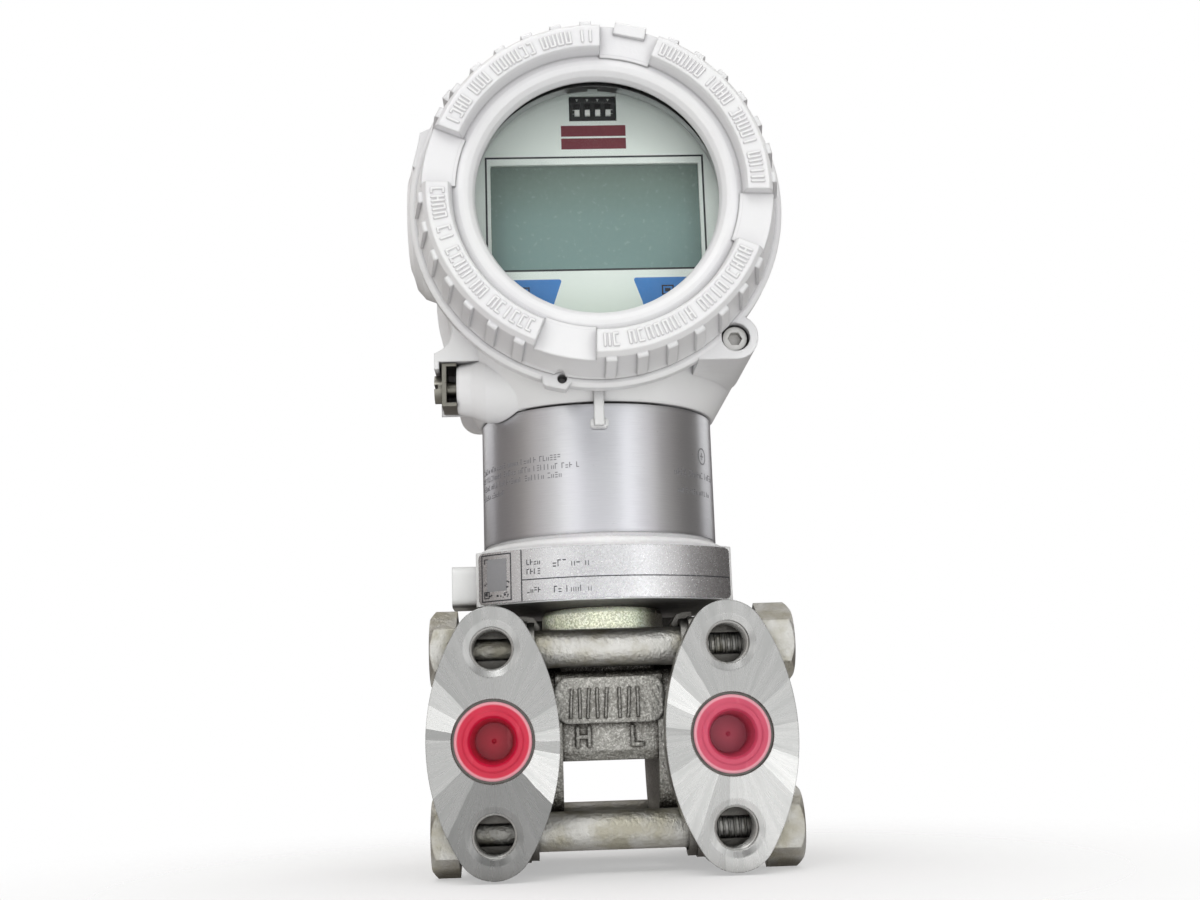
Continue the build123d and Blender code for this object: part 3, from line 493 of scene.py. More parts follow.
def lcd_mat(name="lcd"):
    n = Mat(name)
    x, y, z = n.xyz()
    # own LCD green, with painted shade darkening it towards the top
    g = n.remap(z, .1100, .1375)
    col = n.ramp(g, [(0, (.235, .345, .335)), (.45, (.225, .325, .31)), (.80, (.185, .25, .225)), (1, (.13, .17, .15))])
    # painted shade: darker at the side edges
    ax = n.math("ABSOLUTE", x)
    col = n.mix(n.remap(ax, .0215, .0250, 0, .32), col, (.10, .135, .12))
    cell = n.noise(900, 2, .5, n.scaled(1, 1, 1))
    col = n.mix(n.remap(cell, .4, .7, 0, .10), col, (.30, .38, .36))
    n.set(Base_Color=col, Roughness=n.remap(cell, .3, .7, .20, .28), Normal=n.bump(cell, .03, .0001))
    n.p.inputs["Coat Weight"].default_value = .35
    n.p.inputs["Coat Roughness"].default_value = .06
    return n.done()


def face_mat(name="display_face"):
    n = Mat(name)
    x, y, z = n.xyz()
    w = n.noise(35, 3, .5)
    f = n.noise(1500, 3, .6)
    col = n.mix(n.remap(w, .35, .65), (.93, .985, .945), (.89, .95, .91))
    # painted shade: darker towards the top, under the housing rim
    up = n.remap(z, .140, .157)
    col = n.mix(n.math("MULTIPLY", up, .22), col, (.62, .68, .69))
    down = n.remap(z, .111, .098)
    col = n.mix(n.math("MULTIPLY", down, .5), col, (.82, .93, .80))
    n.set(Base_Color=col, Roughness=n.remap(f, .3, .7, .34, .44), Normal=n.bump(f, .08, .00005, n.bevel(.0002, 3)))
    n.p.inputs["Coat Weight"].default_value = .25
    n.p.inputs["Coat Roughness"].default_value = .15
    return n.done()


def board_mat(name="board_green"):
    n = Mat(name)
    tr = n.new("ShaderNodeTexBrick")
    n.put(tr.inputs["Vector"], n.scaled(1, 1, 1, (0, 0, 0), (math.radians(90), 0, 0)))
    tr.inputs["Scale"].default_value = 260
    tr.inputs["Mortar Size"].default_value = .04
    tr.inputs["Color1"].default_value = (.015, .12, .045, 1)
    tr.inputs["Color2"].default_value = (.012, .10, .04, 1)
    tr.inputs["Mortar"].default_value = (.03, .22, .09, 1)
    pads = n.remap(n.voronoi(420, "F1", rand=.6), .10, .14, 1, 0)
    col = n.mix(pads, tr.outputs[0], (.62, .60, .52))
    g = n.noise(800, 3)
    n.set(Base_Color=col, Roughness=n.remap(g, .3, .7, .26, .40), Metallic=n.math("MULTIPLY", pads, .9), Normal=n.bump(tr.outputs[1], .25, .00008))
    return n.done()


MATS = {
    "white_paint": white_paint(),
    "cover_paint": white_paint("cover_paint", (-.0031, .0105, .0376)),
    "rear_paint": white_paint("rear_cover_paint", (.0650, .0783, .0376)),
    "housing_paint": white_paint("housing_paint", (-.0029, .0790, .0386)),
    "mark_paint": mark_paint(),
    "cast_steel": cast_steel(),
    "machined_steel": steel("machined_steel", (.62, .62, .60), (.54, .54, .52), .24, .38, 1400, .0001, .12),
    "bolt_steel": steel("bolt_steel", (.70, .695, .665), (.57, .565, .53), .32, .50, 1000, .0004, .75, .0005, warm=(.46, .44, .36)),
    "screw_steel": steel("screw_steel", (.60, .59, .56), (.50, .49, .46), .22, .36, 1600, .0001, .15, .00025),
    "lock_screw_steel": steel("lock_screw_steel", (.90, .90, .88), (.82, .82, .80), .32, .46, 1600, .0001, .10, .0003, corner_shade=(.10, .09, .08)),
    "dark_steel": steel("clamp_steel", (.34, .33, .29), (.25, .245, .21), .26, .42, 1100, .0002, .25, .0003),
    "plug_high": plug_red("plug_red_left", -.027, (.66, .012, .055), (.585, .009, .047)),
    "plug_low": plug_red("plug_red_right", .027, (.65, .075, .145), (.57, .060, .12)),
    "seal_white": plastic("seal_white", (.74, .74, .71), (.66, .66, .63), .5, .65),
    "black_rubber": plastic("black_rubber", (.022, .022, .022), (.035, .035, .034), .55, .75, 500, .3, .0002),
    "neck_label": brushed_label(),
    "base_label": speckled_label(),
    "board_green": board_mat(),
    "brass": steel("brass", (.62, .45, .18), (.52, .37, .14), .25, .38, 1200, .0001, .15),
    "ribbon": plastic("ribbon", (.55, .28, .06), (.47, .22, .04), .3, .42),
    "window_glass": glass(),
    "aluminium_plain": steel("aluminium_plain", (.64, .64, .65), (.56, .56, .57), .26, .40, 1300, .0001, .15, aniso=.4, axis="Y"),
    "display_face": face_mat(),
    "black_plastic": plastic("black_plastic", (.005, .0055, .006), (.010, .0105, .012), .42, .58, 900, .2, .0001),
    "lcd": lcd_mat(),
    "slider_white": plastic("slider_white", (.95, .95, .93), (.88, .88, .86), .35, .5),
    "ink_dark": ink("print_dark", (.018, .019, .024)),
    "ink_soft": ink("print_grey", (.20, .20, .215)),
    "ink_white": ink("print_white", (.62, .64, .62)),
    "ink_red": ink("print_red", (.17, .012, .026)),
    "ink_blue": ink("print_blue", (.045, .225, .60)),
    "panel_grey": ink("panel_grey", (.25, .25, .26), .4),
    # (angle, factor) brightness round each port: painted highlight sectors
    "flange_left": machined_flange("flange_face_left", -.027, [
        (-180, .84), (-138, .64), (-118, .46), (-49, 1.36), (-14, .80), (-2, 1.12), (9, .90), (27, .74),
        (131, 1.08), (148, 1.38), (167, .66), (176, .92)]),
    "flange_right": machined_flange("flange_face_right", .027, [
        (-180, .86), (-150, 1.04), (-112, .84), (-96, 1.06), (-47, 1.34), (-22, 1.02), (8, .86), (40, .74),
        (118, .98), (134, 1.38), (152, 1.04), (172, .76)]),
}
SLOT_OF = {n: None for n in nodes}
for m in frame["record"].get("materials", []):
    for nd in (m.get("nodes") or []):
        SLOT_OF[nd] = m.get("slot")
SPECIAL = {
    "process_flange_high": "flange_left", "process_flange_low": "flange_right",
    "port_plug_high": "plug_high", "port_plug_low": "plug_low",
    "front_cover": "cover_paint", "rear_cover": "rear_paint", "housing": "housing_paint",
    "housing_lock_screw": "screw_steel", "front_lock_screw": "lock_screw_steel", "rear_lock_screw": "lock_screw_steel",
    "neck_lock_screw": "screw_steel", "earth_clamp": "dark_steel", "earth_screw": "dark_steel",
}
PLAIN = {
    "flange_gasket": "seal_white", "diaphragm": "machined_steel", "tie_bolts": "bolt_steel", "tie_nuts": "bolt_steel",
    "sensor_body": "cast_steel", "dp_sensor_cell": "machined_steel", "vent_": "machined_steel", "neck_casting": "white_paint",
    "neck_oring": "black_rubber", "neck_label": "neck_label", "base_label": "base_label", "sensor_board_posts": "brass",
    "sensor_board": "board_green", "sensor_ribbon": "ribbon", "conduit_plug": "machined_steel", "window_glass": "window_glass",
    "glass_gasket": "seal_white", "glass_retaining_ring": "aluminium_plain", "front_cover_oring": "black_rubber",
    "rear_cover_oring": "black_rubber", "display_face": "display_face", "display_housing": "black_plastic", "lcd_panel": "lcd",
    "display_board": "board_green", "dip_switch_block": "black_plastic", "dip_slider": "slider_white", "main_board": "board_green",
    "board_pillars": "brass", "board_screws": "screw_steel", "terminal_block_screws": "screw_steel", "terminal_block": "black_plastic",
    "terminal_plates": "machined_steel", "terminal_screw": "screw_steel", "inner_earth_screw": "screw_steel", "inner_earth_washers": "brass",
}


def material_for(name):
    if name in SPECIAL:
        return MATS[SPECIAL[name]]
    best = max((k for k in PLAIN if name.startswith(k)), key=len)
    return MATS[PLAIN[best]]


for name, o in nodes.items():
    m = material_for(name)
    if len(o.material_slots) == 0:
        o.data.materials.append(m)
    for s in o.material_slots:
        s.material = m


# ------------------------------------------------------------------ mesh helper
def piece(name, verts, faces, mat, body, smooth=False):
    me = bpy.data.meshes.new(name)
    me.from_pydata([tuple(c * MM for c in v) for v in verts], [], faces)
    me.validate()
    bm = bmesh.new()
    bm.from_mesh(me)
    bmesh.ops.recalc_face_normals(bm, faces=bm.faces)
    bm.to_mesh(me)
    bm.free()
    o = bpy.data.objects.new(name, me)
    scene.collection.objects.link(o)
    me.materials.append(MATS[mat])
    if smooth:
        for p in me.polygons:
            p.use_smooth = True
    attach(o, body)
    return o


class Shape:
    """Collects closed little solids, in millimetres, into one mesh."""

    def __init__(s):
        s.v, s.f = [], []

    def prism(s, bottom, top):
        """A closed prism between two loops of the same number of points."""
        b = len(s.v)
        n = len(bottom)
        s.v += [tuple(p) for p in bottom] + [tuple(p) for p in top]
        s.f.append([b + i for i in reversed(range(n))])
        s.f.append([b + n + i for i in range(n)])
        for i in range(n):
            j = (i + 1) % n
            s.f.append([b + i, b + j, b + n + j, b + n + i])

    def tube(s, rings):
        """A closed tube through rings of equal length, its ends capped."""
        b = len(s.v)
        n = len(rings[0])
        for r in rings:
            s.v += [tuple(p) for p in r]
        for k in range(len(rings) - 1):
            for i in range(n):
                j = (i + 1) % n
                s.f.append([b + k * n + i, b + k * n + j, b + (k + 1) * n + j, b + (k + 1) * n + i])
        s.f.append([b + i for i in reversed(range(n))])
        s.f.append([b + (len(rings) - 1) * n + i for i in range(n)])


def on_cyl(a, z, r, cy):
    """Point on a cylinder about a Z axis at y=cy; a in degrees, 0 at the front, + to the right."""
    t = math.radians(a)
    return (r * math.sin(t), cy - r * math.cos(t), z)


def cyl_patch(sh, a0, a1, z0, z1, r, cy, thick, slant=0.0):
    """A thin closed patch that follows the cylinder."""
    steps = max(1, int(abs(a1 - a0) / 3.0 + .5))
    for k in range(steps):
        b0 = a0 + (a1 - a0) * k / steps
        b1 = a0 + (a1 - a0) * (k + 1) / steps
        lo = [on_cyl(b0, z0, r, cy), on_cyl(b1, z0, r, cy), on_cyl(b1, z1, r, cy), on_cyl(b0, z1, r, cy)]
        hi = [on_cyl(b0, z0, r + thick, cy), on_cyl(b1, z0, r + thick, cy), on_cyl(b1, z1, r + thick, cy), on_cyl(b0, z1, r + thick, cy)]
        if steps == 1:
            sh.prism(lo, hi)
        else:
            rings = []
            for q in range(steps + 1):
                b = a0 + (a1 - a0) * q / steps
                rings.append([on_cyl(b, z0, r, cy), on_cyl(b, z1, r, cy), on_cyl(b, z1, r + thick, cy), on_cyl(b, z0, r + thick, cy)])
            sh.tube(rings)
            return


def strokes(sh, rng, a0, a1, z, h, r, cy, thick=.03, word=(3, 8), density=.62):
    """A row of tiny plain strokes in groups, which reads as a printed line and spells nothing."""
    per = math.degrees(1.0 / r)
    a = a0
    while a < a1 - .3 * per:
        for _ in range(rng.randint(*word)):
            if a > a1 - .3 * per:
                break
            kind = rng.random()
            w = h * .50
            if kind < .45:
                cyl_patch(sh, a, a + .20 * per, z, z + h, r, cy, thick)
                if rng.random() < .5:
                    zz = z + h * rng.choice((0, .42, .84))
                    cyl_patch(sh, a + .20 * per, a + w * per, zz, zz + .16 * h, r, cy, thick)
            elif kind < .75:
                cyl_patch(sh, a, a + .18 * per, z, z + h * .66, r, cy, thick)
                cyl_patch(sh, a + (w - .18) * per, a + w * per, z, z + h * .66, r, cy, thick)
            else:
                for q in (0, .42, .84):
                    if rng.random() < .75:
                        cyl_patch(sh, a, a + w * per, z + h * q, z + h * (q + .16), r, cy, thick)
            a += (w + h * .22) * per
        a += h * .55 * per


# ------------------------------------------------------------------ cast relief on the pad of the sensor body
def ridge(sh, x0, z0, x1, z1, w, yb, yt):
    """A cast bar with sloping sides and ends, standing out of a face that looks along -Y."""
    d = math.hypot(x1 - x0, z1 - z0)
    ux, uz = (x1 - x0) / d, (z1 - z0) / d

    def loop(e, h, y):
        pts = ((x0 - ux * e, z0 - uz * e), (x1 + ux * e, z1 + uz * e))
        return [(pts[0][0] + uz * h, y, pts[0][1] - ux * h), (pts[1][0] + uz * h, y, pts[1][1] - ux * h),
                (pts[1][0] - uz * h, y, pts[1][1] + ux * h), (pts[0][0] - uz * h, y, pts[0][1] + ux * h)]
    sh.prism(loop(w * .5, w * .5, yb), loop(w * .22, w * .2, yt))


sh = Shape()
for x0, z0, x1, z1 in ((-9.2, 4.9, -8.8, 11.1), (-7.0, 4.9, -7.0, 11.1), (-5.2, 4.9, -4.8, 11.1), (-2.9, 4.9, -2.9, 11.1),
                       (-1.0, 4.9, -.6, 11.1), (2.3, 4.9, 2.3, 11.1), (4.3, 4.9, 4.7, 11.1), (6.6, 4.9, 6.6, 11.1)):
    ridge(sh, x0, z0, x1, z1, 1.0, 11.85, 11.15)
piece("pad_relief", sh.v, sh.f, "cast_steel", "sensor")


# ------------------------------------------------------------------ prints on the two labels
rng = random.Random(11)
NR, NY = 29.67, 38.0
sh = Shape()
strokes(sh, rng, -79, -19.8, 65.9, 1.35, NR, NY, word=(3, 9))
strokes(sh, rng, -79, -10.6, 63.75, 1.35, NR, NY, word=(3, 9))
strokes(sh, rng, -79, -19.9, 61.6, 1.35, NR, NY, word=(4, 9))
strokes(sh, rng, -79, -54.3, 59.3, 1.25, NR, NY, word=(5, 9))
strokes(sh, rng, 36.8, 74, 62.4, 1.55, NR, NY, word=(4, 7))
strokes(sh, rng, 38.5, 66, 58.1, 1.25, NR, NY, word=(3, 5))
# plain ring and cross symbol at the right
for r0, r1 in ((2.15, 1.80),):
    ring_o, ring_i = [], []
    for k in range(36):
        t = 2 * math.pi * k / 36
        ring_o.append((59.6 + math.degrees(r0 * math.cos(t) / NR), 68.2 + r0 * math.sin(t)))
        ring_i.append((59.6 + math.degrees(r1 * math.cos(t) / NR), 68.2 + r1 * math.sin(t)))
    for k in range(36):
        j = (k + 1) % 36
        loop = [ring_i[k], ring_i[j], ring_o[j], ring_o[k]]
        sh.prism([on_cyl(a, z, NR, NY) for a, z in loop], [on_cyl(a, z, NR + .03, NY) for a, z in loop])
pa = math.degrees(1 / NR)
cyl_patch(sh, 59.6 - .9 * pa, 59.6 + .9 * pa, 68.05, 68.35, NR, NY, .03)
cyl_patch(sh, 59.6 - .15 * pa, 59.6 + .15 * pa, 67.3, 69.1, NR, NY, .03)
piece("neck_label_print", sh.v, sh.f, "ink_soft", "sensor")

BR, BY = 43.92, 48.0
sh = Shape()
pb = math.degrees(1 / BR)
# square frame at the left end
fa0, fa1, fz0, fz1, fw = -42.3, -30.6, 32.45, 43.75, .30
cyl_patch(sh, fa0, fa1, fz1 - fw, fz1, BR, BY, .03)
cyl_patch(sh, fa0, fa1, fz0, fz0 + fw, BR, BY, .03)
cyl_patch(sh, fa0, fa0 + fw * pb, fz0 + fw, fz1 - fw, BR, BY, .03)
cyl_patch(sh, fa1 - fw * pb, fa1, fz0 + fw, fz1 - fw, BR, BY, .03)
# small corner marks and crumbs inside the square
cyl_patch(sh, fa0 + .9 * pb, fa0 + 2.1 * pb, fz1 - 1.25, fz1 - 1.0, BR, BY, .03)
cyl_patch(sh, fa0 + .9 * pb, fa0 + 1.15 * pb, fz1 - 2.2, fz1 - 1.25, BR, BY, .03)
for q in range(26):
    a = fa0 + rng.uniform(.8, 8.0) * pb
    z = fz0 + (rng.uniform(.7, 1.6) if q < 15 else rng.uniform(1.0, 5.0))
    if q >= 15:
        a = (fa0 + rng.uniform(.8, 1.6) * pb) if q % 2 else (fa1 - rng.uniform(.8, 1.7) * pb)
    w = rng.uniform(.2, .55)
    cyl_patch(sh, a, a + w * pb, z, z + rng.uniform(.2, .5), BR, BY, .03)
for (a0, z0, w, h) in ((.8, .8, 1.7, .25), (.8, 2.25, 1.7, .25), (.8, 1.05, .25, 1.2), (2.25, 1.05, .25, 1.2), (1.4, 1.4, .5, .5)):
    cyl_patch(sh, fa0 + a0 * pb, fa0 + (a0 + w) * pb, fz0 + z0, fz0 + z0 + h, BR, BY, .03)
# dividing lines
cyl_patch(sh, -27.2, -27.2 + .30 * pb, 31.98, 44.15, BR, BY, .03)
cyl_patch(sh, -27.2 + .30 * pb, 43.2, 36.85, 37.12, BR, BY, .03)
# plain entries
strokes(sh, rng, -25.2, -20.4, 40.4, 1.3, BR, BY, word=(5, 6))
strokes(sh, rng, -25.2, -20.0, 38.2, 1.3, BR, BY, word=(5, 6))
strokes(sh, rng, -16.6, -5.0, 39.6, 1.65, BR, BY, word=(2, 4))
strokes(sh, rng, -25.2, -20.0, 33.8, 1.3, BR, BY, word=(5, 6))
strokes(sh, rng, -16.4, -4.0, 33.6, 1.5, BR, BY, word=(2, 6))
piece("base_label_print", sh.v, sh.f, "ink_dark", "sensor")

sh = Shape()
cyl_patch(sh, fa0 + 1.7 * pb, fa1 - 1.3 * pb, fz0 + 2.4, fz1 - 1.2, BR, BY, .02)
piece("base_label_panel", sh.v, sh.f, "panel_grey", "sensor")

# ------------------------------------------------------------------ raised ticks on the front cover's bands
sh = Shape()
CZ = 125.0


def polar(r, a, y):
    """Point round the barrel axis; a in degrees from +X towards +Z, seen from the front."""
    t = math.radians(a)
    return (r * math.cos(t), y, CZ + r * math.sin(t))


def tick(sh, r0, r1, a, w, y0, y1, lean=0.0):
    """A raised stroke from r0 to r1, w wide, with a narrower top."""
    n = 6
    rm, base, top = (r0 + r1) / 2, [], []
    for grow, loop in ((1.0, base), (.46, top)):
        hw = w / 2 * grow
        hl = (r1 - r0) / 2 - (w / 2) * (1 - grow)
        pts = []
        for s_ in (1, -1):
            for k in range(n):
                t = -math.pi / 2 + math.pi * k / (n - 1)
                dx = s_ * (hl - hw + hw * math.cos(t))
                dy = s_ * hw * math.sin(t)
                pts.append((dx, dy))
        for dr, dt in pts:
            r = rm + dr
            loop.append(polar(r, a + math.degrees((dt + lean * dr) / r), y0 if grow == 1.0 else y1))
    sh.prism(base, top)


def bar_t(sh, r0, r1, a0, a1, y0, y1):
    """A raised arc-wise stroke."""
    base = [polar(r0, a0, y0), polar(r0, a1, y0), polar(r1, a1, y0), polar(r1, a0, y0)]
    ins = .22
    top = [polar(r0 + ins, a0 + .1, y1), polar(r0 + ins, a1 - .1, y1), polar(r1 - ins, a1 - .1, y1), polar(r1 - ins, a0 + .1, y1)]
    sh.prism(base, top)


rng2 = random.Random(5)
YB = -16.70
RA, RB = 35.25, 38.75
for k in range(4):
    c = -102.5 + 90 * k
    a = c + 10.2 + 2.0
    end = c + 90 - 10.2 - 2.0
    words = [[2, 8, 9], [4, 5, 4, 6], [2, 4, 6, 3, 4], [4, 2, 7, 6]][k]
    total = sum(words) + .75 * (len(words) - 1)
    pitch = (end - a) / total
    half = math.degrees(.50 / 37.0)
    for wn in words:
        for _ in range(wn):
            cx = a + pitch * .5
            kind = rng2.choice("IUEHNU")
            if kind == "I":
                tick(sh, RA, RB, cx, .86, YB, YB - .36)
            else:
                tick(sh, RA, RB, cx - half, .84, YB, YB - .36)
                if kind != "E":
                    tick(sh, RA, RB, cx + half, .84, YB, YB - .36)
                if kind == "U":
                    bar_t(sh, RA, RA + .8, cx - half, cx + half, YB, YB - .34)
                elif kind == "H":
                    bar_t(sh, 36.6, 37.4, cx - half, cx + half, YB, YB - .34)
                elif kind == "E":
                    bar_t(sh, RB - .8, RB, cx - half, cx + half * 1.2, YB, YB - .34)
                    bar_t(sh, RA, RA + .8, cx - half, cx + half * 1.2, YB, YB - .34)
            a += pitch
        a += pitch * .75
piece("cover_band_marks", sh.v, sh.f, "mark_paint", "front_cover")

# ------------------------------------------------------------------ display prints
FY = 3.0


def flat(sh, x0, x1, z0, z1, y=FY, t=.03):
    sh.prism([(x0, y, z0), (x1, y, z0), (x1, y, z1), (x0, y, z1)], [(x0, y - t, z0), (x1, y - t, z0), (x1, y - t, z1), (x0, y - t, z1)])


def poly(sh, pts, y=FY, t=.03):
    sh.prism([(x, y, z) for x, z in pts], [(x, y - t, z) for x, z in pts])


def rounded(pts, radii, steps=5):
    """Corner-rounded polygon outline."""
    out = []
    n = len(pts)
    for i in range(n):
        p, a, b = Vector(pts[i]), Vector(pts[i - 1]), Vector(pts[(i + 1) % n])
        r = radii[i]
        if r <= 0:
            out.append(tuple(p))
            continue
        u, v = (a - p).normalized(), (b - p).normalized()
        s0, s1 = p + u * r, p + v * r
        for k in range(steps + 1):
            t = k / steps
            out.append(tuple(s0 * (1 - t) ** 2 + p * 2 * t * (1 - t) + s1 * t ** 2))
    return out


sh = Shape()
fx, fz_lo, fz_hi, lw = 26.6, 109.95, 139.05, .46
flat(sh, -fx, fx, fz_hi - lw, fz_hi)
flat(sh, -fx, fx, fz_lo, fz_lo + lw)
flat(sh, -fx, -fx + lw, fz_lo + lw, fz_hi - lw)
flat(sh, fx - lw, fx, fz_lo + lw, fz_hi - lw)
piece("display_frame_line", sh.v, sh.f, "ink_dark", "housing")

sh = Shape()
left = rounded([(-27.0, 107.9), (-8.6, 107.9), (-10.9, 101.2), (-10.9, 98.0), (-24.0, 98.0), (-27.0, 103.0)], [.6, .9, 1.2, .5, .5, .5])
right = rounded([(8.4, 108.0), (27.0, 108.0), (27.0, 103.0), (24.0, 98.0), (10.7, 98.0), (10.7, 101.4)], [.9, .6, .5, .5, .5, 1.2])
poly(sh, left)
poly(sh, right)
piece("display_key_fields", sh.v, sh.f, "ink_blue", "housing")

sh = Shape()
for x0 in (-19.3, 15.2):
    # a small open book-like square mark with a bar
    flat(sh, x0, x0 + 2.9, 105.7, 106.05, FY - .03, .02)
    flat(sh, x0, x0 + 2.9, 103.6, 103.95, FY - .03, .02)
    flat(sh, x0, x0 + .35, 103.95, 105.7, FY - .03, .02)
    flat(sh, x0 + 2.55, x0 + 2.9, 103.95, 105.7, FY - .03, .02)
    flat(sh, x0 + .8, x0 + 2.1, 104.4, 105.25, FY - .03, .02)
piece("display_key_marks", sh.v, sh.f, "ink_dark", "housing")

# plain two-bar ornament on the plate
sh = Shape()
flat(sh, -7.9, 7.9, 144.2, 147.0)
flat(sh, -7.9, 7.9, 140.9, 143.7)
piece("display_red_bars", sh.v, sh.f, "ink_red", "housing")

# small white prints on the switch block
sh = Shape()
DY = 3.5
for k in range(4):
    x = (k - 1.5) * 2.54
    flat(sh, x - .12, x + .12, 153.55, 154.15, DY, .02)
    flat(sh, x - .30, x + .30, 153.95, 154.12, DY, .02)
for q in (-4.9, 4.3):
    flat(sh, q, q + .6, 150.2, 150.35, DY, .02)
    flat(sh, q, q + .6, 151.2, 151.35, DY, .02)
piece("dip_block_print", sh.v, sh.f, "ink_white", "housing")


# ------------------------------------------------------------------ screw threads that show through the open holes
def helix(sh, axis, centre, r_root, r_crest, start, end, pitch, steps=40, inward=False, width=.62):
    """A real helical ridge of triangular section along an axis ('x' or 'y'), faded out at both ends."""
    turns = (end - start) / pitch
    total = int(turns * steps)
    rings = []
    for k in range(total + 1):
        t = 2 * math.pi * k / steps
        at = start + pitch * k / steps
        fade = min(1.0, k / (steps * .4), (total - k) / (steps * .4))
        rc = r_root + (r_crest - r_root) * max(fade, .02)
        base = -.05 if not inward else .05
        sec = ((r_root + base, -pitch * width / 2), (rc, -pitch * .07), (rc, pitch * .07), (r_root + base, pitch * width / 2))
        ring = []
        for r, d in sec:
            u, v = r * math.cos(t), r * math.sin(t)
            if axis == "x":
                ring.append((at + d, centre[0] + u, centre[1] + v))
            else:
                ring.append((centre[0] + u, at + d, centre[1] - v))
        rings.append(ring)
    sh.tube(rings)


sh = Shape()
for y in (15.0, 61.0):
    for z in (-21.0, 21.0):
        helix(sh, "x", (y, z), 4.5, 5.0, 21.0, 42.6, 1.25, 32)
piece("tie_bolt_threads", sh.v, sh.f, "bolt_steel", "sensor", smooth=False)

sh = Shape()
for x in (-27.0, 27.0):
    for z in (-20.65, 20.65):
        helix(sh, "y", (x, z), 4.95, 4.50, .8, 9.4, 1.4, 36, inward=True)
        helix(sh, "y", (x, z), 4.25, 3.85, 66.4, 75.1, 1.5, 36, inward=True)
piece("tapped_hole_threads", sh.v, sh.f, "machined_steel", "sensor", smooth=False)

# ------------------------------------------------------------------ floor, light and camera
floor_z = cad_lo.z - .0003
bm = bmesh.new()
rings_r = [0.0, .25, .5, 1.0, 2.0, 4.0, 8.0]
prev = None
for r in rings_r:
    if r == 0:
        cur = [bm.verts.new((0, .03, floor_z))]
    else:
        cur = [bm.verts.new((r * math.cos(2 * math.pi * k / 96), .03 + r * math.sin(2 * math.pi * k / 96), floor_z)) for k in range(96)]
    if prev is not None:
        for k in range(96):
            j = (k + 1) % 96
            if len(prev) == 1:
                bm.faces.new((prev[0], cur[k], cur[j]))
            else:
                bm.faces.new((prev[k], cur[k], cur[j], prev[j]))
    prev = cur
me = bpy.data.meshes.new("floor")
bm.to_mesh(me)
bm.free()
floor = bpy.data.objects.new("floor", me)
scene.collection.objects.link(floor)
fm = Mat("floor_card")
fn = fm.noise(7, 3, .5)
fm.set(Base_Color=fm.mix(fm.remap(fn, .3, .7), (.975, .975, .975), (.96, .96, .965)), Roughness=fm.remap(fn, .3, .7, .75, .9), Normal=fm.bump(fm.noise(900, 3), .05, .0002))
fr = fm.vmath("LENGTH", fm.vmath("SUBTRACT", fm.co, (0.0, .03, floor_z)))
ftr, fmx = fm.new("ShaderNodeBsdfTransparent"), fm.new("ShaderNodeMixShader")
fm.put(fmx.inputs[0], fm.remap(fr, .02, .20, .40, 1.0, smooth=True))
fm.t.links.new(fm.p.outputs[0], fmx.inputs[1])
fm.t.links.new(ftr.outputs[0], fmx.inputs[2])
fm.t.links.new(fmx.outputs[0], fm.out.inputs[0])
me.materials.append(fm.done())

world = bpy.data.worlds.new("studio")
scene.world = world
world.use_nodes = True
wt = world.node_tree
wt.nodes.clear()
wo = wt.nodes.new("ShaderNodeOutputWorld")
b_light, b_seen, wm = wt.nodes.new("ShaderNodeBackground"), wt.nodes.new("ShaderNodeBackground"), wt.nodes.new("ShaderNodeMixShader")
lp = wt.nodes.new("ShaderNodeLightPath")
wc = wt.nodes.new("ShaderNodeTexCoord")
ws = wt.nodes.new("ShaderNodeSeparateXYZ")
wt.links.new(wc.outputs["Generated"], ws.inputs[0])


def wmath(op, a, b=None):
    n = wt.nodes.new("ShaderNodeMath")
    n.operation = op
    for i, v in enumerate((a, b)):
        if v is None:
            continue
        if isinstance(v, bpy.types.NodeSocket):
            wt.links.new(v, n.inputs[i])
        else:
            n.inputs[i].default_value = v
    return n.outputs[0]


def wramp(fac, stops):
    n = wt.nodes.new("ShaderNodeValToRGB")
    e = n.color_ramp.elements
    while len(e) > 1:
        e.remove(e[-1])
    n.color_ramp.interpolation = "EASE"
    for i, (p, c) in enumerate(stops):
        el = e[0] if i == 0 else e.new(p)
        el.position = p
        el.color = (c, c, c, 1)
    wt.links.new(fac, n.inputs[0])
    return n.outputs[0]


# azimuth seen from the object: 0 straight ahead of its front, + to its right
wx, wy, wz = ws.outputs
az = wmath("DIVIDE", wmath("ARCTAN2", wx, wmath("MULTIPLY", wy, -1.0)), 2 * math.pi)
az = wmath("ADD", az, .5)
w_az = wramp(az, [((a + 180) / 360, v) for a, v in (
    (-180, .13), (-150, .13), (-125, .17), (-88, .28), (-56, .78), (-24, 1.66), (4, 1.96), (24, 1.84), (46, 1.06), (66, .36),
    (92, .14), (130, .12), (180, .12))])
w_el = wramp(wmath("ADD", wmath("MULTIPLY", wz, .5), .5), ((0, .72), (.32, .88), (.5, .90), (.66, 1.0), (.84, .85), (1, .60)))
up = wmath("ABSOLUTE", wz)
w_flat = wmath("MULTIPLY", up, up)
w_all = wmath("ADD", wmath("MULTIPLY", w_az, wmath("SUBTRACT", 1.0, w_flat)), wmath("MULTIPLY", w_flat, .62))
# a calmer patch straight ahead at the height of the oval faces
dipz = wmath("MAXIMUM", wmath("SUBTRACT", 1.0, wmath("MULTIPLY", up, 6.5)), 0.0)
dipx = wramp(az, [((a + 180) / 360, v) for a, v in ((-60, 0), (-22, .74), (-3, .70), (7, .56), (32, 0))])
w_dip = wmath("SUBTRACT", 1.0, wmath("MULTIPLY", dipz, dipx))
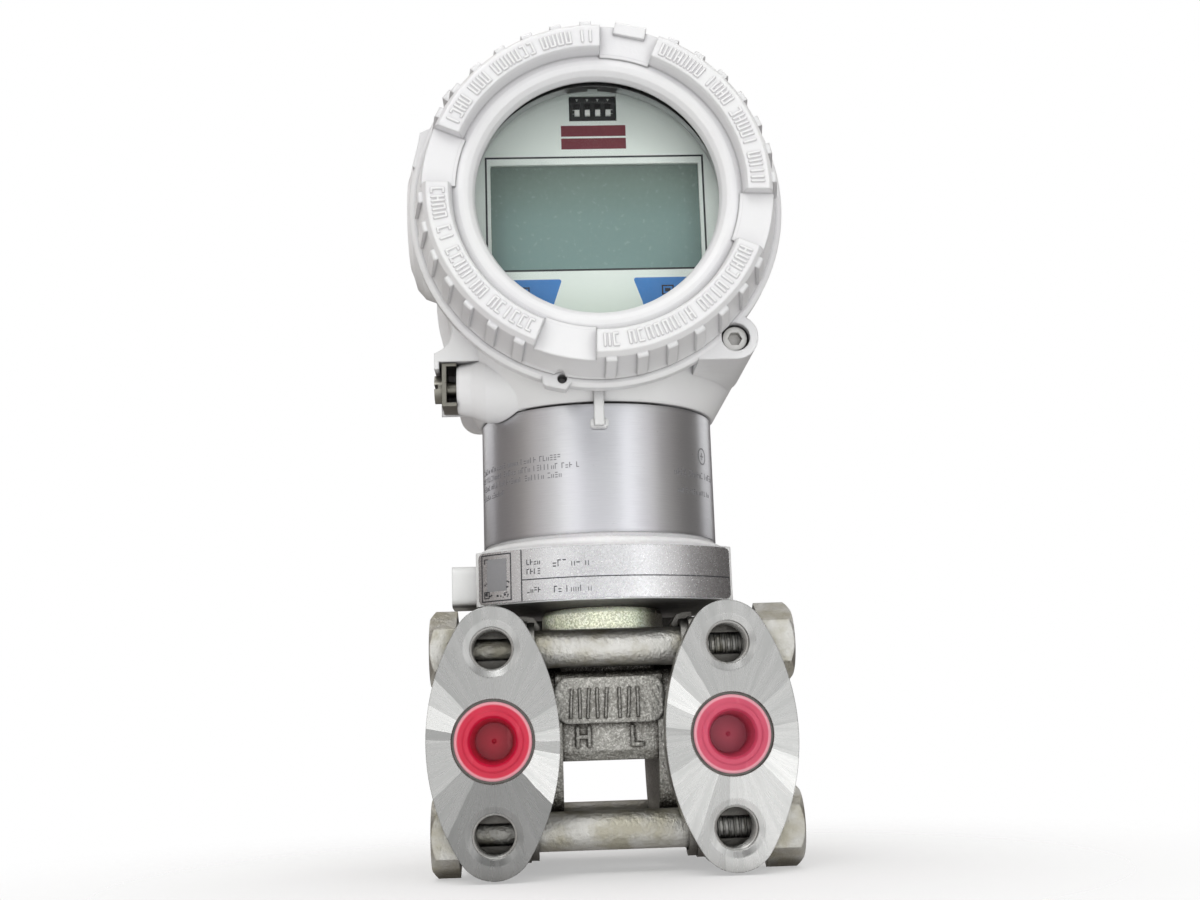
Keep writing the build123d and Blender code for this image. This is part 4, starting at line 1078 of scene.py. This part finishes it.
# a darker patch where the window would mirror the light
gx = wramp(az, [((a + 180) / 360, v) for a, v in ((-27, 0), (-10, .90), (14, .90), (28, 0))])
gz = wramp(wz, ((.15, 0), (.235, 1), (.50, 1), (.62, 0)))
w_dip = wmath("MULTIPLY", w_dip, wmath("SUBTRACT", 1.0, wmath("MULTIPLY", gx, gz)))
w_light = wmath("MULTIPLY", wmath("MULTIPLY", w_all, w_el), w_dip)
wt.links.new(w_light, b_light.inputs[1])
tint = wt.nodes.new("ShaderNodeValToRGB")
te = tint.color_ramp.elements
te[0].position, te[0].color = 0.0, (1.0, .91, .86, 1)
te[1].position, te[1].color = 1.0, (1.0, .93, .89, 1)
for a, c in ((-80, (1.0, .92, .87)), (-38, (1.0, .995, .99)), (30, (.995, .998, 1.0)), (80, (1.0, .94, .90))):
    e = te.new((a + 180) / 360)
    e.color = (c[0], c[1], c[2], 1)
wt.links.new(az, tint.inputs[0])
wt.links.new(tint.outputs[0], b_light.inputs[0])
b_seen.inputs[0].default_value = (1, 1, 1, 1)
b_seen.inputs[1].default_value = 1.0
wt.links.new(lp.outputs["Is Camera Ray"], wm.inputs[0])
wt.links.new(b_light.outputs[0], wm.inputs[1])
wt.links.new(b_seen.outputs[0], wm.inputs[2])
wt.links.new(wm.outputs[0], wo.inputs[0])


def area(name, at, aim, size, power, colour=(1, 1, 1), spread=180, glossy=True):
    l = bpy.data.lights.new(name, "AREA")
    l.spread = math.radians(spread)
    l.shape = "RECTANGLE"
    l.size, l.size_y = size
    l.energy = power
    l.color = colour
    o = bpy.data.objects.new(name, l)
    o.location = at
    o.rotation_euler = (Vector(aim) - Vector(at)).to_track_quat("-Z", "Y").to_euler()
    o.visible_glossy = glossy
    o.visible_camera = False
    scene.collection.objects.link(o)
    return o


AIM = (0, .03, .06)
area("soft_front", (-.55, -1.25, 1.35), AIM, (.8, .6), 5.5)
area("soft_top", (.0, .10, 1.35), AIM, (1.2, 1.0), 6.5)
area("soft_back_left", (-.9, 1.15, .7), AIM, (.8, .8), 2.0)
area("soft_back_right", (1.0, 1.0, .6), AIM, (.7, .8), 1.6)
area("head_right", (.58, -.80, .34), (0, .01, .13), (.25, .25), .016, spread=18, glossy=False)
area("head_left", (-.58, -.80, .34), (0, .01, .13), (.25, .25), .008, spread=18, glossy=False)
area("collar_front", (.04, -.70, .0), (0, .03, .027), (.02, .02), .0033, spread=4, glossy=False)
area("bounce", (.13, -.30, -.02), (.012, .0, .095), (.10, .06), .0020, spread=40, glossy=False)

cam = bpy.data.cameras.new("photo_view")
cam_o = bpy.data.objects.new("photo_view", cam)
scene.collection.objects.link(cam_o)
cam.sensor_fit = "HORIZONTAL"
cam.sensor_width = 36.0
cam.lens = 43.284
cam.clip_start = .01
cam.clip_end = 50
yaw, tilt, roll = math.radians(2.55), math.radians(11.11), math.radians(-1.85)
fwd = Vector((math.sin(yaw) * math.cos(tilt), math.cos(yaw) * math.cos(tilt), math.sin(tilt)))
right = Vector((math.cos(yaw), -math.sin(yaw), 0))
up = right.cross(fwd)
R_ = math.cos(roll) * right + math.sin(roll) * up
U_ = -math.sin(roll) * right + math.cos(roll) * up
cam_o.matrix_world = Matrix((
    (R_.x, U_.x, -fwd.x, -.0156),
    (R_.y, U_.y, -fwd.y, -.3306),
    (R_.z, U_.z, -fwd.z, .0010),
    (0, 0, 0, 1)))
scene.camera = cam_o
